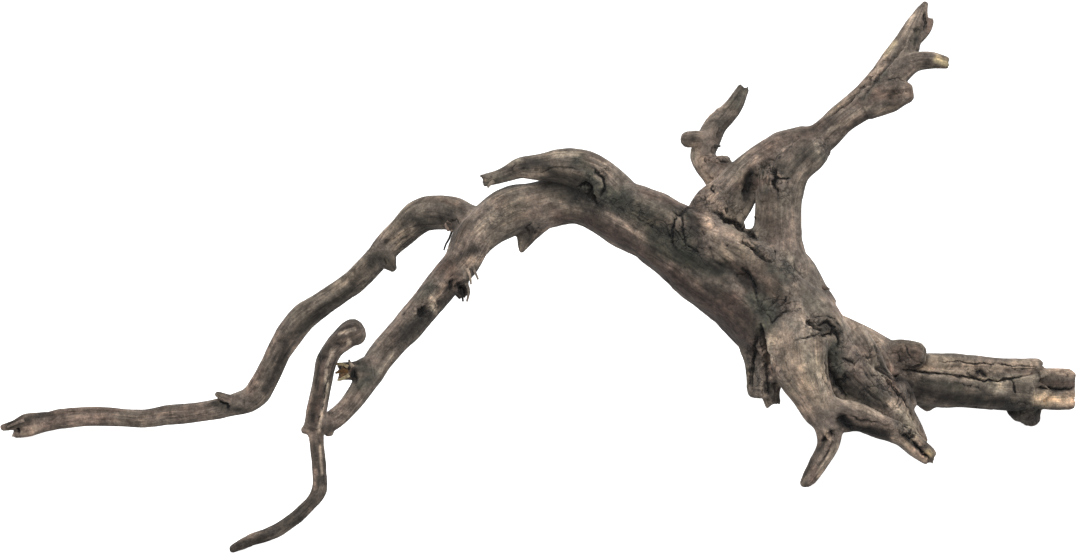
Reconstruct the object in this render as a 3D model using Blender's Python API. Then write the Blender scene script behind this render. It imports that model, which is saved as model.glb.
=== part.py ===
"""A piece of driftwood: an arched trunk on three roots, with two long arms and a forked limb.

The wood grew as one piece, so it is one closed solid. Each limb is drawn as it is seen from the
front: a list of stations (across, down, toward, radius) in drawing units, where across and down
are read from the drawing's top left corner and toward is the height out of the drawing's plane.
The limbs are swept into closed tubes, fused, smoothed and thinned out to flat facets, and the
feet are worn flat where they rest on the ground.
"""

import math
import random
from dataclasses import dataclass

import bpy
import numpy as np

# Driving dimensions, in metres and degrees
UNIT = 0.00065  # one unit of the drawing, which is 1080 units across
EYE_DISTANCE = 2.0  # from the eye to the drawing's plane
EYE_ELEVATION = 22.0  # how far the eye looks down on the wood
DRAWING_CENTRE = (540, 277)
MIDDLE = np.array([-0.0022, 0.0397, 0.1216])  # where the drawing's centre lies over the ground

# Surface of the limbs
SIDES = 28
RING_STEP = 0.0022
FLUTES = ((2, 0.020), (3, 0.026), (4, 0.028), (5, 0.028), (7, 0.018))  # waves round, depth
FLUTE_TWIST = 9.0  # most turn of a flute along the limb, in radians per metre
LUMPS = ((1, 3.1, 0.018), (-2, 4.3, 0.016))  # turns round, length of one in radii, depth
SQUARING = 0.6  # how far a fully square section's corners are pushed out
JAG = 0.55  # how far splinters stand out of a broken end, in radii
ROUND_TIP = ((0.45, 0.85), (0.72, 0.55))  # rings that close a limb: advance and width, in radii
BROKEN_TIP = ((0.0, 0.55),)

# Mesh
VOXEL = 0.0013
GROWTH = 0.0003  # added to every radius, which the smoothing takes off again
SMOOTHING = 5
TRIANGLES = 10500
GROUND = (1.2, 0.8, 0.1)  # size of the slab that the feet are worn flat by

# Looks
WOOD_COLOUR = (0.17, 0.135, 0.11, 1)
WOOD_ROUGHNESS = 0.8


@dataclass
class Limb:
    """One stem of the wood. wide and thick stretch its section toward the eye and across it."""

    name: str
    stations: list
    wide: float = 1.0
    thick: float = 1.0
    square: float = 0.0
    broken: bool = False


TRUNK = [
    (838, 374, -12, 38), (797, 334, 0, 50), (756.5, 295.5, 4, 50), (710, 262, 8, 43.8),
    (663.5, 233.5, 5, 37.5), (616, 209, 0, 32), (576, 199.5, -5, 25.2), (540, 205, -5, 25.5),
    (508, 213.2, 0, 24), (477, 234, 5, 21.3), (461, 262.5, 14, 18.8), (440.5, 287.5, 24, 16.6),
    (420.5, 311.5, 35, 15.6), (400.5, 334, 46, 14), (380.5, 358, 57, 14), (364, 384, 68, 11.3),
    (349.5, 405, 78, 9.3), (334, 419.5, 87, 9.5), (317, 427, 95, 9),
]
TWIG = [
    (315, 418, 96, 8), (316, 438, 98, 7.3), (318, 456, 103, 6.9), (319.3, 474, 110, 6.9),
    (319, 491, 116, 7), (309.5, 504.5, 122, 6.4), (293, 519.5, 129, 6.5), (275, 531.3, 136, 6.6),
    (255.5, 538.6, 142, 5.9), (243, 543.8, 146, 5.2), (232.5, 549, 148, 4.2),
]
CANE = [
    (315, 427, 97, 10.5), (315.5, 413, 99, 10.6), (318.5, 399, 101, 10), (322.5, 380, 104, 9.4),
    (326.5, 362, 107, 10.2), (333.6, 348.4, 109, 10.3), (343, 340, 110, 11.7), (349.5, 334.5, 111, 12.8),
    (353.6, 332.7, 112, 13.6),
]
LEFT_ARM = [
    (498, 227, 0, 18), (471, 221.5, -5, 16.8), (446, 212, -12, 17.2), (423.5, 213.5, -20, 17.4),
    (402.5, 230.5, -26, 14.7), (381.5, 252.5, -32, 12.3), (361, 275, -38, 12), (340, 292, -43, 11.2),
    (320, 305, -47, 11.5), (298, 322, -51, 13), (279.3, 350, -56, 11.7), (264.3, 382, -61, 11.5),
    (250, 399, -64, 11.5), (225, 406.5, -67, 9.7), (200, 411.5, -70, 8.8), (170, 414.5, -73, 9.2),
    (140, 418, -76, 8.3), (110, 416, -79, 8.4), (80, 416.5, -82, 9.2), (55, 419.5, -85, 9.2),
    (36, 425, -89, 8),
]
LEFT_TIP_UPPER = [(46, 419, -84, 7), (27, 419.5, -85, 5.6), (14, 425, -86, 4.3), (3, 427.5, -87, 2.9)]
LEFT_TIP_LOWER = [(44, 425, -86, 7), (28, 430.5, -90, 6), (14, 433.5, -92, 4.6)]
BEAK = [
    (618, 200, 4, 25), (596, 177, 12, 22), (577, 167.5, 17, 19.3), (559, 165, 19, 16),
    (540, 166, 20, 13.2), (522, 167, 21, 10.5), (509, 172.5, 22, 7.8), (498, 176.5, 23, 6.4),
    (483, 180, 24, 5.8),
]
LEFT_LIMB = [
    (712, 246, -5, 33), (716.5, 214, -8, 27), (731, 195, -10, 22), (752, 171.5, -12, 19.5),
    (776, 154.5, -12, 18.4), (800, 146, -9, 19), (820.5, 137.5, -7, 16.3), (841, 119, -6, 13.8),
    (862, 102.5, -5, 15.5), (881, 84, -5, 16), (898.5, 59, -6, 15.5), (909.5, 38, -8, 12.3),
    (917, 23, -9, 10), (921.5, 11, -10, 6), (925, 3.5, -10, 3),
]
RIGHT_LIMB = [
    (796, 318, -4, 43), (784, 288, -2, 37.3), (776, 262, 1, 32), (776, 244, 3, 27), (778, 228, 5, 22.5),
    (778, 213, 6, 21.5), (780, 192, 6, 22), (790, 170.5, 5, 20), (805, 155.5, 1, 20), (814, 148.5, -4, 18),
]
SHORT_FORK = [
    (884, 82, -2, 15), (899, 70, 2, 14), (915, 61.5, 5, 10), (931, 60.5, 7, 8.3), (948, 63, 9, 5.5),
]
LIMB_KNOB = [(864, 104, -3, 16), (879, 97.5, 0, 17.5), (893, 94, 4, 16), (905, 92.5, 6, 11)]
SPLINTER = [(914, 41, -14, 7), (925, 28, -15, 6.5), (930, 18.5, -16, 4.5)]
ANTLER = [
    (734, 196, -24, 17), (715, 173, -27, 14), (703.5, 157, -28, 12.3), (707.5, 142, -28, 12),
    (716.5, 125, -30, 10.7), (729.5, 111.5, -32, 9.2), (738.5, 98.5, -33, 7.4), (744.5, 87.5, -34, 5.5),
]
ANTLER_STUB = [(709, 140, -26, 9), (697, 139, -21, 8), (687.5, 139.5, -17, 8)]
ANTLER_LUMP = [(712, 174, -20, 11), (720, 164.5, -16, 9), (726.5, 162, -14, 6.3)]
FRONT_ROOT = [
    (788, 320, 18, 40), (797, 345, 32, 32), (801, 368, 38, 27.5), (813, 393, 36, 19.5),
    (823, 411, 32, 18.3), (829, 427, 30, 14.2), (828, 446, 26, 10.6), (818.5, 464, 21, 9),
    (810, 477, 17, 7), (804.5, 483.5, 15, 4.5),
]
ROOT_PRONG = [
    (819, 408, 33, 17), (843, 416.3, 33, 16.6), (860, 418, 30, 13.5), (880, 426.5, 22, 11.5),
    (901, 434.5, 13, 10.7), (917.5, 447.5, 3, 10.2), (930, 457.3, -6, 8.6),
]
MIDDLE_ROOT = [
    (832, 346, -8, 38), (847, 368, -2, 35), (863, 387, 0, 31.5), (883, 403, -4, 25.5), (899, 418, -10, 17),
    (911.5, 431, -16, 12), (921, 441, -20, 7),
]
MIDDLE_ROOT_LUMP = [(890, 384, -10, 14), (903, 396, -8, 11), (910, 405, -8, 7)]
BACK_ROOT = [
    (824, 342, -24, 30), (858, 353, -40, 27.5), (890, 369, -54, 26), (925, 380, -70, 25.5),
    (960, 382, -85, 24.5), (1000, 385, -100, 24), (1036, 388, -113, 23),
]
BACK_ROOT_END = [(1000, 389, -102, 18), (1040, 389.5, -116, 20), (1066.5, 389.5, -127, 20.5)]
BACK_ROOT_KNOB = [(888, 358, -42, 18), (904, 355.5, -36, 15.5), (915.5, 354.5, -30, 12.8)]
BACK_ROOT_LUMP = [(1020, 402, -110, 16), (1027, 410.5, -117, 15), (1030, 417, -121, 10)]
BACK_ROOT_HEEL = [(936, 388, -72, 18), (930, 398, -70, 12), (926, 404, -70, 8)]
TOP_PLANK = [(918, 361.5, -58, 8), (956, 361, -76, 7), (1000, 364.5, -92, 6), (1036, 365.6, -106, 6.8)]
BARK_STRIP = [(749, 337, 12, 13), (755, 360, 14, 11), (757, 378, 14, 10.3), (756.5, 391, 14, 9.8)]
BARK_STRIP_INNER = [(766, 346, 20, 12), (765, 370, 20, 10), (767, 392, 18, 8)]
BARK_TAG = [(772, 372, 16, 14), (770.5, 390, 12, 9.5), (773, 404, 10, 7.2)]
BARK_PLATE = [(767, 200, 20, 7), (766, 184, 22, 8), (763, 170, 20, 6)]
BARK_PLATE_OUTER = [(783, 196, 18, 8), (780, 182, 21, 8), (775, 172, 20, 5)]
CROTCH = [(738, 247, -4, 17), (752, 245, 0, 15.5), (766, 245, 4, 16)]
ARCH_SPIKE = [(535, 218, -5, 19), (527, 234, -5, 11), (523.5, 244, -5, 6.5), (521.5, 251, -5, 2.5)]
TORN_STUB = [(452, 274, 14, 15), (459.5, 286, 12, 10), (463.5, 296, 10, 5.5)]
SMALL_STUB = [(368, 369, 66, 14), (355, 371, 72, 9.5), (340, 371, 77, 8.3)]
ARM_SPUR = [(382, 254, -30, 11), (388, 262, -28, 9), (393, 268.5, -27, 4)]
ARM_THORN = [(243, 402, -63, 8), (229, 399.5, -60, 5.5), (217, 394, -57, 2.4)]
CANE_SPUR = [(314, 423, 95, 9.5), (309, 428.5, 96, 8.5), (304, 430.5, 96, 4)]
NEAR_ARM_SPUR = [(328, 427, 89, 7), (329, 433, 89, 4.5)]

LIMBS = [
    Limb("trunk", TRUNK),
    Limb("twig", TWIG),
    Limb("cane", CANE),
    Limb("left_arm", LEFT_ARM),
    Limb("left_tip_upper", LEFT_TIP_UPPER),
    Limb("left_tip_lower", LEFT_TIP_LOWER, broken=True),
    Limb("beak", BEAK, broken=True),
    Limb("left_limb", LEFT_LIMB),
    Limb("right_limb", RIGHT_LIMB),
    Limb("crotch", CROTCH),
    Limb("short_fork", SHORT_FORK, broken=True),
    Limb("limb_knob", LIMB_KNOB),
    Limb("splinter", SPLINTER, wide=0.7, broken=True),
    Limb("antler", ANTLER, broken=True),
    Limb("antler_stub", ANTLER_STUB),
    Limb("antler_lump", ANTLER_LUMP),
    Limb("front_root", FRONT_ROOT),
    Limb("root_prong", ROOT_PRONG, broken=True),
    Limb("middle_root", MIDDLE_ROOT),
    Limb("middle_root_lump", MIDDLE_ROOT_LUMP),
    Limb("back_root", BACK_ROOT, square=0.45, broken=True),
    Limb("back_root_end", BACK_ROOT_END, wide=0.85, square=0.8, broken=True),
    Limb("back_root_knob", BACK_ROOT_KNOB),
    Limb("back_root_lump", BACK_ROOT_LUMP),
    Limb("back_root_heel", BACK_ROOT_HEEL),
    Limb("top_plank", TOP_PLANK, wide=2.2, square=0.8, broken=True),
    Limb("bark_strip", BARK_STRIP),
    Limb("bark_strip_inner", BARK_STRIP_INNER),
    Limb("bark_tag", BARK_TAG, wide=0.7, broken=True),
    Limb("bark_plate", BARK_PLATE, wide=0.8, broken=True),
    Limb("bark_plate_outer", BARK_PLATE_OUTER, wide=0.8, broken=True),
    Limb("arch_spike", ARCH_SPIKE, wide=0.7),
    Limb("torn_stub", TORN_STUB, broken=True),
    Limb("small_stub", SMALL_STUB, broken=True),
    Limb("arm_spur", ARM_SPUR),
    Limb("arm_thorn", ARM_THORN),
    Limb("cane_spur", CANE_SPUR),
    Limb("near_arm_spur", NEAR_ARM_SPUR),
]


def place(across, down, toward):
    """The point over the ground that the eye sees at (across, down), at that height out of the plane."""
    tilt = math.radians(EYE_ELEVATION)
    up = np.array([0, math.sin(tilt), math.cos(tilt)])
    out = np.array([0, -math.cos(tilt), math.sin(tilt)])
    nearness = 1 - toward * UNIT / EYE_DISTANCE
    x = (across - DRAWING_CENTRE[0]) * UNIT * nearness
    y = (DRAWING_CENTRE[1] - down) * UNIT * nearness
    return MIDDLE + np.array([x, 0, 0]) + up * y + out * toward * UNIT


def smooth_row(values, step):
    """A Catmull-Rom curve through rows (x, y, z, radius), with about one row for each step of length."""
    rows = [2 * values[0] - values[1], *values, 2 * values[-1] - values[-2]]
    curve = []
    for a, b, c, d in zip(rows, rows[1:], rows[2:], rows[3:]):
        count = max(2, round(float(np.linalg.norm((c - b)[:3])) / step))
        for k in range(count):
            t = k / count
            curve.append(
                0.5 * (2 * b + (c - a) * t + (2 * a - 5 * b + 4 * c - d) * t**2
                       + (3 * b - a - 3 * c + d) * t**3)
            )
    curve.append(values[-1])
    return np.array(curve)


def centreline(limb):
    """Points and radii along a limb, in metres."""
    rows = []
    for across, down, toward, radius in limb.stations:
        nearness = 1 - toward * UNIT / EYE_DISTANCE
        rows.append(np.array([*place(across, down, toward), radius * UNIT * nearness + GROWTH]))
    return smooth_row(rows, RING_STEP)


def frames(points):
    """For each point, the limb's direction and two directions across it, turned no more than it bends."""
    tangents = np.gradient(points, axis=0)
    tangents /= np.linalg.norm(tangents, axis=1)[:, None]
    tilt = math.radians(EYE_ELEVATION)
    normal = np.array([0, -math.cos(tilt), math.sin(tilt)])
    normals = []
    for tangent in tangents:
        normal = normal - tangent * (normal @ tangent)
        normal = normal / np.linalg.norm(normal)
        normals.append(normal)
    normals = np.array(normals)
    return tangents, normals, np.cross(tangents, normals)


def section(name, angles, lengths, radius):
    """How far the wood stands out, as a share of the radius, at angles round it and lengths along it."""
    draw = random.Random(name)
    share = np.ones(np.broadcast(angles, lengths).shape)
    for count, depth in FLUTES:
        depth *= draw.uniform(0.7, 1.3)
        turn = draw.uniform(0, math.tau)
        twist = draw.uniform(-1, 1) * FLUTE_TWIST
        share = share + depth * np.cos(count * angles + turn + twist * lengths)
    for count, length, depth in LUMPS:
        turn = draw.uniform(0, math.tau)
        share = share + depth * np.sin(math.tau * lengths / (length * radius) + count * angles + turn)
    return share


def rounded(values, square):
    """Cosines or sines pushed outwards, so that a round section becomes square."""
    return np.sign(values) * np.abs(values) ** (1 - SQUARING * square)


def splinters(name, radius):
    """How far each spoke of a broken end stands out or in."""
    draw = random.Random(name + " end")
    jag = np.array([draw.uniform(-JAG, JAG) for _ in range(SIDES)])
    return (jag + np.roll(jag, 1)) / 2 * radius


def tube(limb):
    """Vertices and faces of a limb as one closed tube."""
    line = centreline(limb)
    points, radii = line[:, :3], line[:, 3]
    tangents, normals, sides = frames(points)
    lengths = np.concatenate([[0], np.cumsum(np.linalg.norm(np.diff(points, axis=0), axis=1))])
    angles = np.arange(SIDES) * math.tau / SIDES
    share = section(limb.name, angles[None, :], lengths[:, None], float(radii.mean()))
    along_normal = limb.wide * rounded(np.cos(angles), limb.square)
    along_side = limb.thick * rounded(np.sin(angles), limb.square)
    spokes = normals[:, None, :] * along_normal[None, :, None] + sides[:, None, :] * along_side[None, :, None]
    rings = points[:, None, :] + spokes * (radii[:, None] * share)[:, :, None]
    if limb.broken:
        rings[-1] += tangents[-1] * splinters(limb.name, radii[-1])[:, None]
    tip = BROKEN_TIP if limb.broken else ROUND_TIP
    reach = tangents[-1] * radii[-1]
    closing = [points[-1] + reach * advance + (rings[-1] - points[-1]) * width for advance, width in tip]
    rings = np.concatenate([rings, np.array(closing)])
    vertices = [*rings.reshape(-1, 3), points[0], points[-1] + reach * tip[-1][0]]
    faces = []
    for ring in range(len(rings) - 1):
        for k in range(SIDES):
            here, beside = ring * SIDES + k, ring * SIDES + (k + 1) % SIDES
            faces.append((here, beside, beside + SIDES, here + SIDES))
    root, end, last = len(vertices) - 2, len(vertices) - 1, (len(rings) - 1) * SIDES
    for k in range(SIDES):
        faces.append((root, (k + 1) % SIDES, k))
        faces.append((end, last + k, last + (k + 1) % SIDES))
    return vertices, faces


def wood_material():
    material = bpy.data.materials.new("driftwood")
    material.use_nodes = True
    shader = material.node_tree.nodes["Principled BSDF"]
    shader.inputs["Base Color"].default_value = WOOD_COLOUR
    shader.inputs["Roughness"].default_value = WOOD_ROUGHNESS
    shader.inputs["Metallic"].default_value = 0.0
    return material


def bundle_of_limbs():
    """One mesh object that holds every limb as a tube of its own."""
    vertices, faces = [], []
    for limb in LIMBS:
        more_vertices, more_faces = tube(limb)
        first = len(vertices)
        faces += [tuple(first + i for i in face) for face in more_faces]
        vertices += more_vertices
    mesh = bpy.data.meshes.new("driftwood")
    mesh.from_pydata([tuple(v) for v in vertices], [], faces)
    mesh.materials.append(wood_material())
    wood = bpy.data.objects.new("driftwood", mesh)
    bpy.context.scene.collection.objects.link(wood)
    return wood


def ground():
    """A slab under the ground plane, which the feet are worn flat by."""
    bpy.ops.mesh.primitive_cube_add(size=1, location=(0, 0, -GROUND[2] / 2))
    slab = bpy.context.object
    slab.name = "ground"
    slab.scale = GROUND
    bpy.ops.object.transform_apply(scale=True)
    slab.hide_render = True
    slab.display_type = "WIRE"
    return slab


def face_count(wood):
    bpy.context.view_layer.update()
    evaluated = wood.evaluated_get(bpy.context.evaluated_depsgraph_get())
    mesh = evaluated.to_mesh()
    mesh.calc_loop_triangles()
    count = len(mesh.loop_triangles)
    evaluated.to_mesh_clear()
    return count


def fuse(wood):
    """Grows the tubes together into one surface and thins it out to facets."""
    skin = wood.modifiers.new("grown together", "REMESH")
    skin.mode = "VOXEL"
    skin.voxel_size = VOXEL
    soft = wood.modifiers.new("worn", "SMOOTH")
    soft.factor = 0.5
    soft.iterations = SMOOTHING
    facets = wood.modifiers.new("facets", "DECIMATE")
    facets.ratio = TRIANGLES / face_count(wood)
    facets.use_collapse_triangulate = True


def wear_feet(wood):
    cut = wood.modifiers.new("worn feet", "BOOLEAN")
    cut.operation = "DIFFERENCE"
    cut.object = ground()


def main():
    for old in list(bpy.data.objects):
        bpy.data.objects.remove(old)
    wood = bundle_of_limbs()
    fuse(wood)
    wear_feet(wood)


main()
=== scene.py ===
"""A dressed piece of driftwood: worn grain, cracks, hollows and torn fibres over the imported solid's form."""

import math
import random
from dataclasses import dataclass

import bpy
import numpy as np
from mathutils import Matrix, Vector, kdtree
from mathutils.bvhtree import BVHTree

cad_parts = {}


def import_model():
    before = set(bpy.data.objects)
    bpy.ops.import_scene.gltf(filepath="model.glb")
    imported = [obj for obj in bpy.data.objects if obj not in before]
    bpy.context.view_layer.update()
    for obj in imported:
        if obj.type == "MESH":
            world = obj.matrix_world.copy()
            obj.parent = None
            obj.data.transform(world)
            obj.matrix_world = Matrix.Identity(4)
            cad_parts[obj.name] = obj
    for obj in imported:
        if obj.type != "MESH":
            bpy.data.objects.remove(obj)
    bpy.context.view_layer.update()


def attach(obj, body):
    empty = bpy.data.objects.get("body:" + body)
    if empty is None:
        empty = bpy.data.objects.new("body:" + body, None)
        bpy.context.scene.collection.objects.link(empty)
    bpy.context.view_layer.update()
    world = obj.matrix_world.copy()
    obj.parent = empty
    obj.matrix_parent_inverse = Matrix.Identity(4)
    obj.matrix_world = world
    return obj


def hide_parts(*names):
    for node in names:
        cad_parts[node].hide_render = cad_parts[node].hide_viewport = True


# The drawing that the limbs are read from, in metres and degrees
UNIT = 0.00065
EYE_DISTANCE = 2.0
EYE_ELEVATION = 22.0
DRAWING_CENTRE = (540, 277)
MIDDLE = np.array([-0.0022, 0.0397, 0.1216])
TILT = math.radians(EYE_ELEVATION)
UP = np.array([0, math.sin(TILT), math.cos(TILT)])
OUT = np.array([0, -math.cos(TILT), math.sin(TILT)])

# Base form of the limbs, as in the solid but with more sides and rings
SIDES = 40
RING_STEP = 0.0018
# Flutes round a section: their number and depth, and radians that they turn by in a metre
FLUTES = ((2, 0.020), (3, 0.026), (4, 0.028), (5, 0.028), (7, 0.018))
FLUTE_TWIST = 9.0
# Slow lumps along a stem: turns round it, length in radii and depth
LUMPS = ((1, 3.1, 0.018), (-2, 4.3, 0.016))
SQUARING = 0.6
# How jagged a broken end is, in radii, and how jagged the end of a limb squarer than SAWN_SQUARE is
JAG = 0.55
SAWN_JAG = 0.12
SAWN_SQUARE = 0.7
# Rings past the last station: how far on in radii, and their width
ROUND_TIP = ((0.45, 0.85), (0.72, 0.55))
BROKEN_TIP = ((0.0, 0.55),)
# Smoothing takes this much off every stem, so it is added first
GROWTH = 0.0003
# Points compared with a stem in one step
BATCH = 20000

# Mesh: size of the grid, and how often points and the directions that they move in are evened out
VOXEL = 0.00064
MOST_TRIANGLES = 196000
POINT_SMOOTHING = 6
NORMAL_SMOOTHING = 6

# Carving, with widths in units of the drawing and depths in millimetres
# Shares of a line's half width that a groove and a ridge get. A groove below DEEP counts as a hollow and
# gets a ridge's share
GROOVE_WIDTH = 0.62
GROOVE_EDGE = 0.25
RIDGE_WIDTH = 1.15
DEEP = -2.0
# How uneven the edges are, and how far out a line works, in half widths
RAGGED = 0.45
CARVING_REACH = 3.2
# A line thins out at its ends, over these shares of its length
TAPER_START = -0.05
TAPER_END = 0.18
# Lines that aren't fully dark are a little fainter still
FAINT = 0.75
# The dark core of a crack, a thin line of painted shade, reaches this far, and is weaker in faint lines
CORE_REACH = 3.9
CORE_FADING = 2.2
# Square limbs are worn less
PLANK_WEAR = 0.4

# Hollows and ridges, told by how far the surface lies from its own smoothed form, in metres
NEAR_SMOOTHING = 4
FAR_SMOOTHING = 16
NEAR_HOLLOW = 0.00022
FAR_HOLLOW = 0.0007

# Light from the surroundings, straight down and near the ground
SKY_ABOVE = 0.50
SKY_BELOW = 0.44
SKY_LOWEST = -0.4

# The floor lies just under the wood
FLOOR_LEVEL = -0.0004
FLOOR_REACH = 6

# Camera, in millimetres
SENSOR_WIDTH = 36.0


@dataclass
class Limb:
    """One stem of the wood, with stations (across, down, toward the eye, radius) in units of the drawing.

    wide stretches its section toward the eye, square makes the section boxy, and a broken end is jagged.
    """

    name: str
    stations: list
    wide: float = 1.0
    square: float = 0.0
    broken: bool = False


# Stations along each stem
TRUNK = [
    (838, 374, -12, 38), (797, 334, 0, 50), (756.5, 295.5, 4, 50), (710, 262, 8, 43.8),
    (663.5, 233.5, 5, 37.5), (616, 209, 0, 32), (576, 199.5, -5, 25.2), (540, 205, -5, 25.5),
    (508, 213.2, 0, 24), (477, 234, 5, 21.3), (461, 262.5, 14, 18.8), (440.5, 287.5, 24, 16.6),
    (420.5, 311.5, 35, 15.6), (400.5, 334, 46, 14), (380.5, 358, 57, 14), (364, 384, 68, 11.3),
    (349.5, 405, 78, 9.3), (334, 419.5, 87, 9.5), (317, 427, 95, 9),
]
TWIG = [
    (315, 418, 96, 8), (316, 438, 98, 7.3), (318, 456, 103, 6.9), (319.3, 474, 110, 6.9),
    (319, 491, 116, 7), (309.5, 504.5, 122, 6.4), (293, 519.5, 129, 6.5), (275, 531.3, 136, 6.6),
    (255.5, 538.6, 142, 5.9), (243, 543.8, 146, 5.2), (232.5, 549, 148, 4.2),
]
CANE = [
    (315, 427, 97, 10.5), (315.5, 413, 99, 10.6), (318.5, 399, 101, 10), (322.5, 380, 104, 9.4),
    (326.5, 362, 107, 10.2), (333.6, 348.4, 109, 10.3), (343, 340, 110, 11.7), (349.5, 334.5, 111, 12.8),
    (353.6, 332.7, 112, 13.6),
]
LEFT_ARM = [
    (498, 227, 0, 18), (471, 221.5, -5, 16.8), (446, 212, -12, 17.2), (423.5, 213.5, -20, 17.4),
    (402.5, 230.5, -26, 14.7), (381.5, 252.5, -32, 12.3), (361, 275, -38, 12), (340, 292, -43, 11.2),
    (320, 305, -47, 11.5), (298, 322, -51, 13), (279.3, 350, -56, 11.7), (264.3, 382, -61, 11.5),
    (250, 399, -64, 11.5), (225, 406.5, -67, 9.7), (200, 411.5, -70, 8.8), (170, 414.5, -73, 9.2),
    (140, 418, -76, 8.3), (110, 416, -79, 8.4), (80, 416.5, -82, 9.2), (55, 419.5, -85, 9.2),
    (36, 425, -89, 8),
]
LEFT_TIP_UPPER = [(46, 419, -84, 7), (27, 419.5, -85, 5.6), (14, 425, -86, 4.3), (3, 427.5, -87, 2.9)]
LEFT_TIP_LOWER = [(44, 425, -86, 7), (28, 430.5, -90, 6), (14, 433.5, -92, 4.6)]
BEAK = [
    (618, 200, 4, 25), (596, 177, 12, 22), (577, 167.5, 17, 19.3), (559, 165, 19, 16),
    (540, 166, 20, 13.2), (522, 167, 21, 10.5), (509, 172.5, 22, 7.8), (498, 176.5, 23, 6.4),
    (483, 180, 24, 5.8),
]
LEFT_LIMB = [
    (712, 246, -5, 33), (716.5, 214, -8, 27), (731, 195, -10, 22), (752, 171.5, -12, 19.5),
    (776, 154.5, -12, 18.4), (800, 146, -9, 19), (820.5, 137.5, -7, 16.3), (841, 119, -6, 13.8),
    (862, 102.5, -5, 15.5), (881, 84, -5, 16), (898.5, 59, -6, 15.5), (909.5, 38, -8, 12.3),
    (917, 23, -9, 10), (921.5, 11, -10, 6), (925, 3.5, -10, 3),
]
RIGHT_LIMB = [
    (796, 318, -4, 43), (784, 288, -2, 37.3), (776, 262, 1, 32), (776, 244, 3, 27), (778, 228, 5, 22.5),
    (778, 213, 6, 21.5), (780, 192, 6, 22), (790, 170.5, 5, 20), (805, 155.5, 1, 20), (814, 148.5, -4, 18),
]
SHORT_FORK = [
    (884, 82, -2, 15), (899, 70, 2, 14), (915, 61.5, 5, 10), (931, 60.5, 7, 8.3), (948, 63, 9, 5.5),
]
LIMB_KNOB = [(864, 104, -3, 16), (879, 97.5, 0, 17.5), (893, 94, 4, 16), (905, 92.5, 6, 11)]
SPLINTER = [(914, 41, -14, 7), (925, 28, -15, 6.5), (930, 18.5, -16, 4.5)]
ANTLER = [
    (734, 196, -24, 17), (715, 173, -27, 14), (703.5, 157, -28, 12.3), (707.5, 142, -28, 12),
    (716.5, 125, -30, 10.7), (729.5, 111.5, -32, 9.2), (738.5, 98.5, -33, 7.4), (744.5, 87.5, -34, 5.5),
]
ANTLER_STUB = [(709, 140, -26, 9), (697, 139, -21, 8), (687.5, 139.5, -17, 8)]
ANTLER_LUMP = [(712, 174, -20, 11), (720, 164.5, -16, 9), (726.5, 162, -14, 6.3)]
FRONT_ROOT = [
    (788, 320, 18, 40), (797, 345, 32, 32), (801, 368, 38, 27.5), (813, 393, 36, 19.5),
    (823, 411, 32, 18.3), (829, 427, 30, 14.2), (828, 446, 26, 10.6), (818.5, 464, 21, 9),
    (810, 477, 17, 7), (804.5, 483.5, 15, 4.5),
]
ROOT_PRONG = [
    (819, 408, 33, 17), (843, 416.3, 33, 16.6), (860, 418, 30, 13.5), (880, 426.5, 22, 11.5),
    (901, 434.5, 13, 10.7), (917.5, 447.5, 3, 10.2), (930, 457.3, -6, 8.6),
]
MIDDLE_ROOT = [
    (832, 346, -8, 38), (847, 368, -2, 35), (863, 387, 0, 31.5), (883, 403, -4, 25.5), (899, 418, -10, 17),
    (911.5, 431, -16, 12), (921, 441, -20, 7),
]
MIDDLE_ROOT_LUMP = [(890, 384, -10, 14), (903, 396, -8, 11), (910, 405, -8, 7)]
BACK_ROOT = [
    (824, 342, -24, 30), (858, 353, -40, 27.5), (890, 369, -54, 26), (925, 380, -70, 25.5),
    (960, 382, -85, 24.5), (1000, 385, -100, 24), (1036, 388, -113, 23),
]
BACK_ROOT_END = [(1000, 389, -102, 18), (1040, 389.5, -116, 20), (1066.5, 389.5, -127, 20.5)]
BACK_ROOT_KNOB = [(888, 358, -42, 18), (904, 355.5, -36, 15.5), (915.5, 354.5, -30, 12.8)]
BACK_ROOT_LUMP = [(1020, 402, -110, 16), (1027, 410.5, -117, 15), (1030, 417, -121, 10)]
BACK_ROOT_HEEL = [(936, 388, -72, 18), (930, 398, -70, 12), (926, 404, -70, 8)]
TOP_PLANK = [(918, 361.5, -58, 8), (956, 361, -76, 7), (1000, 364.5, -92, 6), (1036, 365.6, -106, 6.8)]
BARK_STRIP = [(749, 337, 12, 13), (755, 360, 14, 11), (757, 378, 14, 10.3), (756.5, 391, 14, 9.8)]
BARK_STRIP_INNER = [(766, 346, 20, 12), (765, 370, 20, 10), (767, 392, 18, 8)]
BARK_TAG = [(772, 372, 16, 14), (770.5, 390, 12, 9.5), (773, 404, 10, 7.2)]
BARK_PLATE = [(767, 200, 20, 7), (766, 184, 22, 8), (763, 170, 20, 6)]
BARK_PLATE_OUTER = [(783, 196, 18, 8), (780, 182, 21, 8), (775, 172, 20, 5)]
CROTCH = [(738, 247, -4, 17), (752, 245, 0, 15.5), (766, 245, 4, 16)]
ARCH_SPIKE = [(535, 218, -5, 19), (527, 234, -5, 11), (523.5, 244, -5, 6.5), (521.5, 251, -5, 2.5)]
TORN_STUB = [(452, 274, 14, 15), (459.5, 286, 12, 10), (463.5, 296, 10, 5.5)]
SMALL_STUB = [(368, 369, 66, 14), (355, 371, 72, 9.5), (340, 371, 77, 8.3)]
ARM_SPUR = [(382, 254, -30, 11), (388, 262, -28, 9), (393, 268.5, -27, 4)]
ARM_THORN = [(243, 402, -63, 8), (229, 399.5, -60, 5.5), (217, 394, -57, 2.4)]
CANE_SPUR = [(314, 423, 95, 9.5), (309, 428.5, 96, 8.5), (304, 430.5, 96, 4)]
NEAR_ARM_SPUR = [(328, 427, 89, 7), (329, 433, 89, 4.5)]

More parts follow.
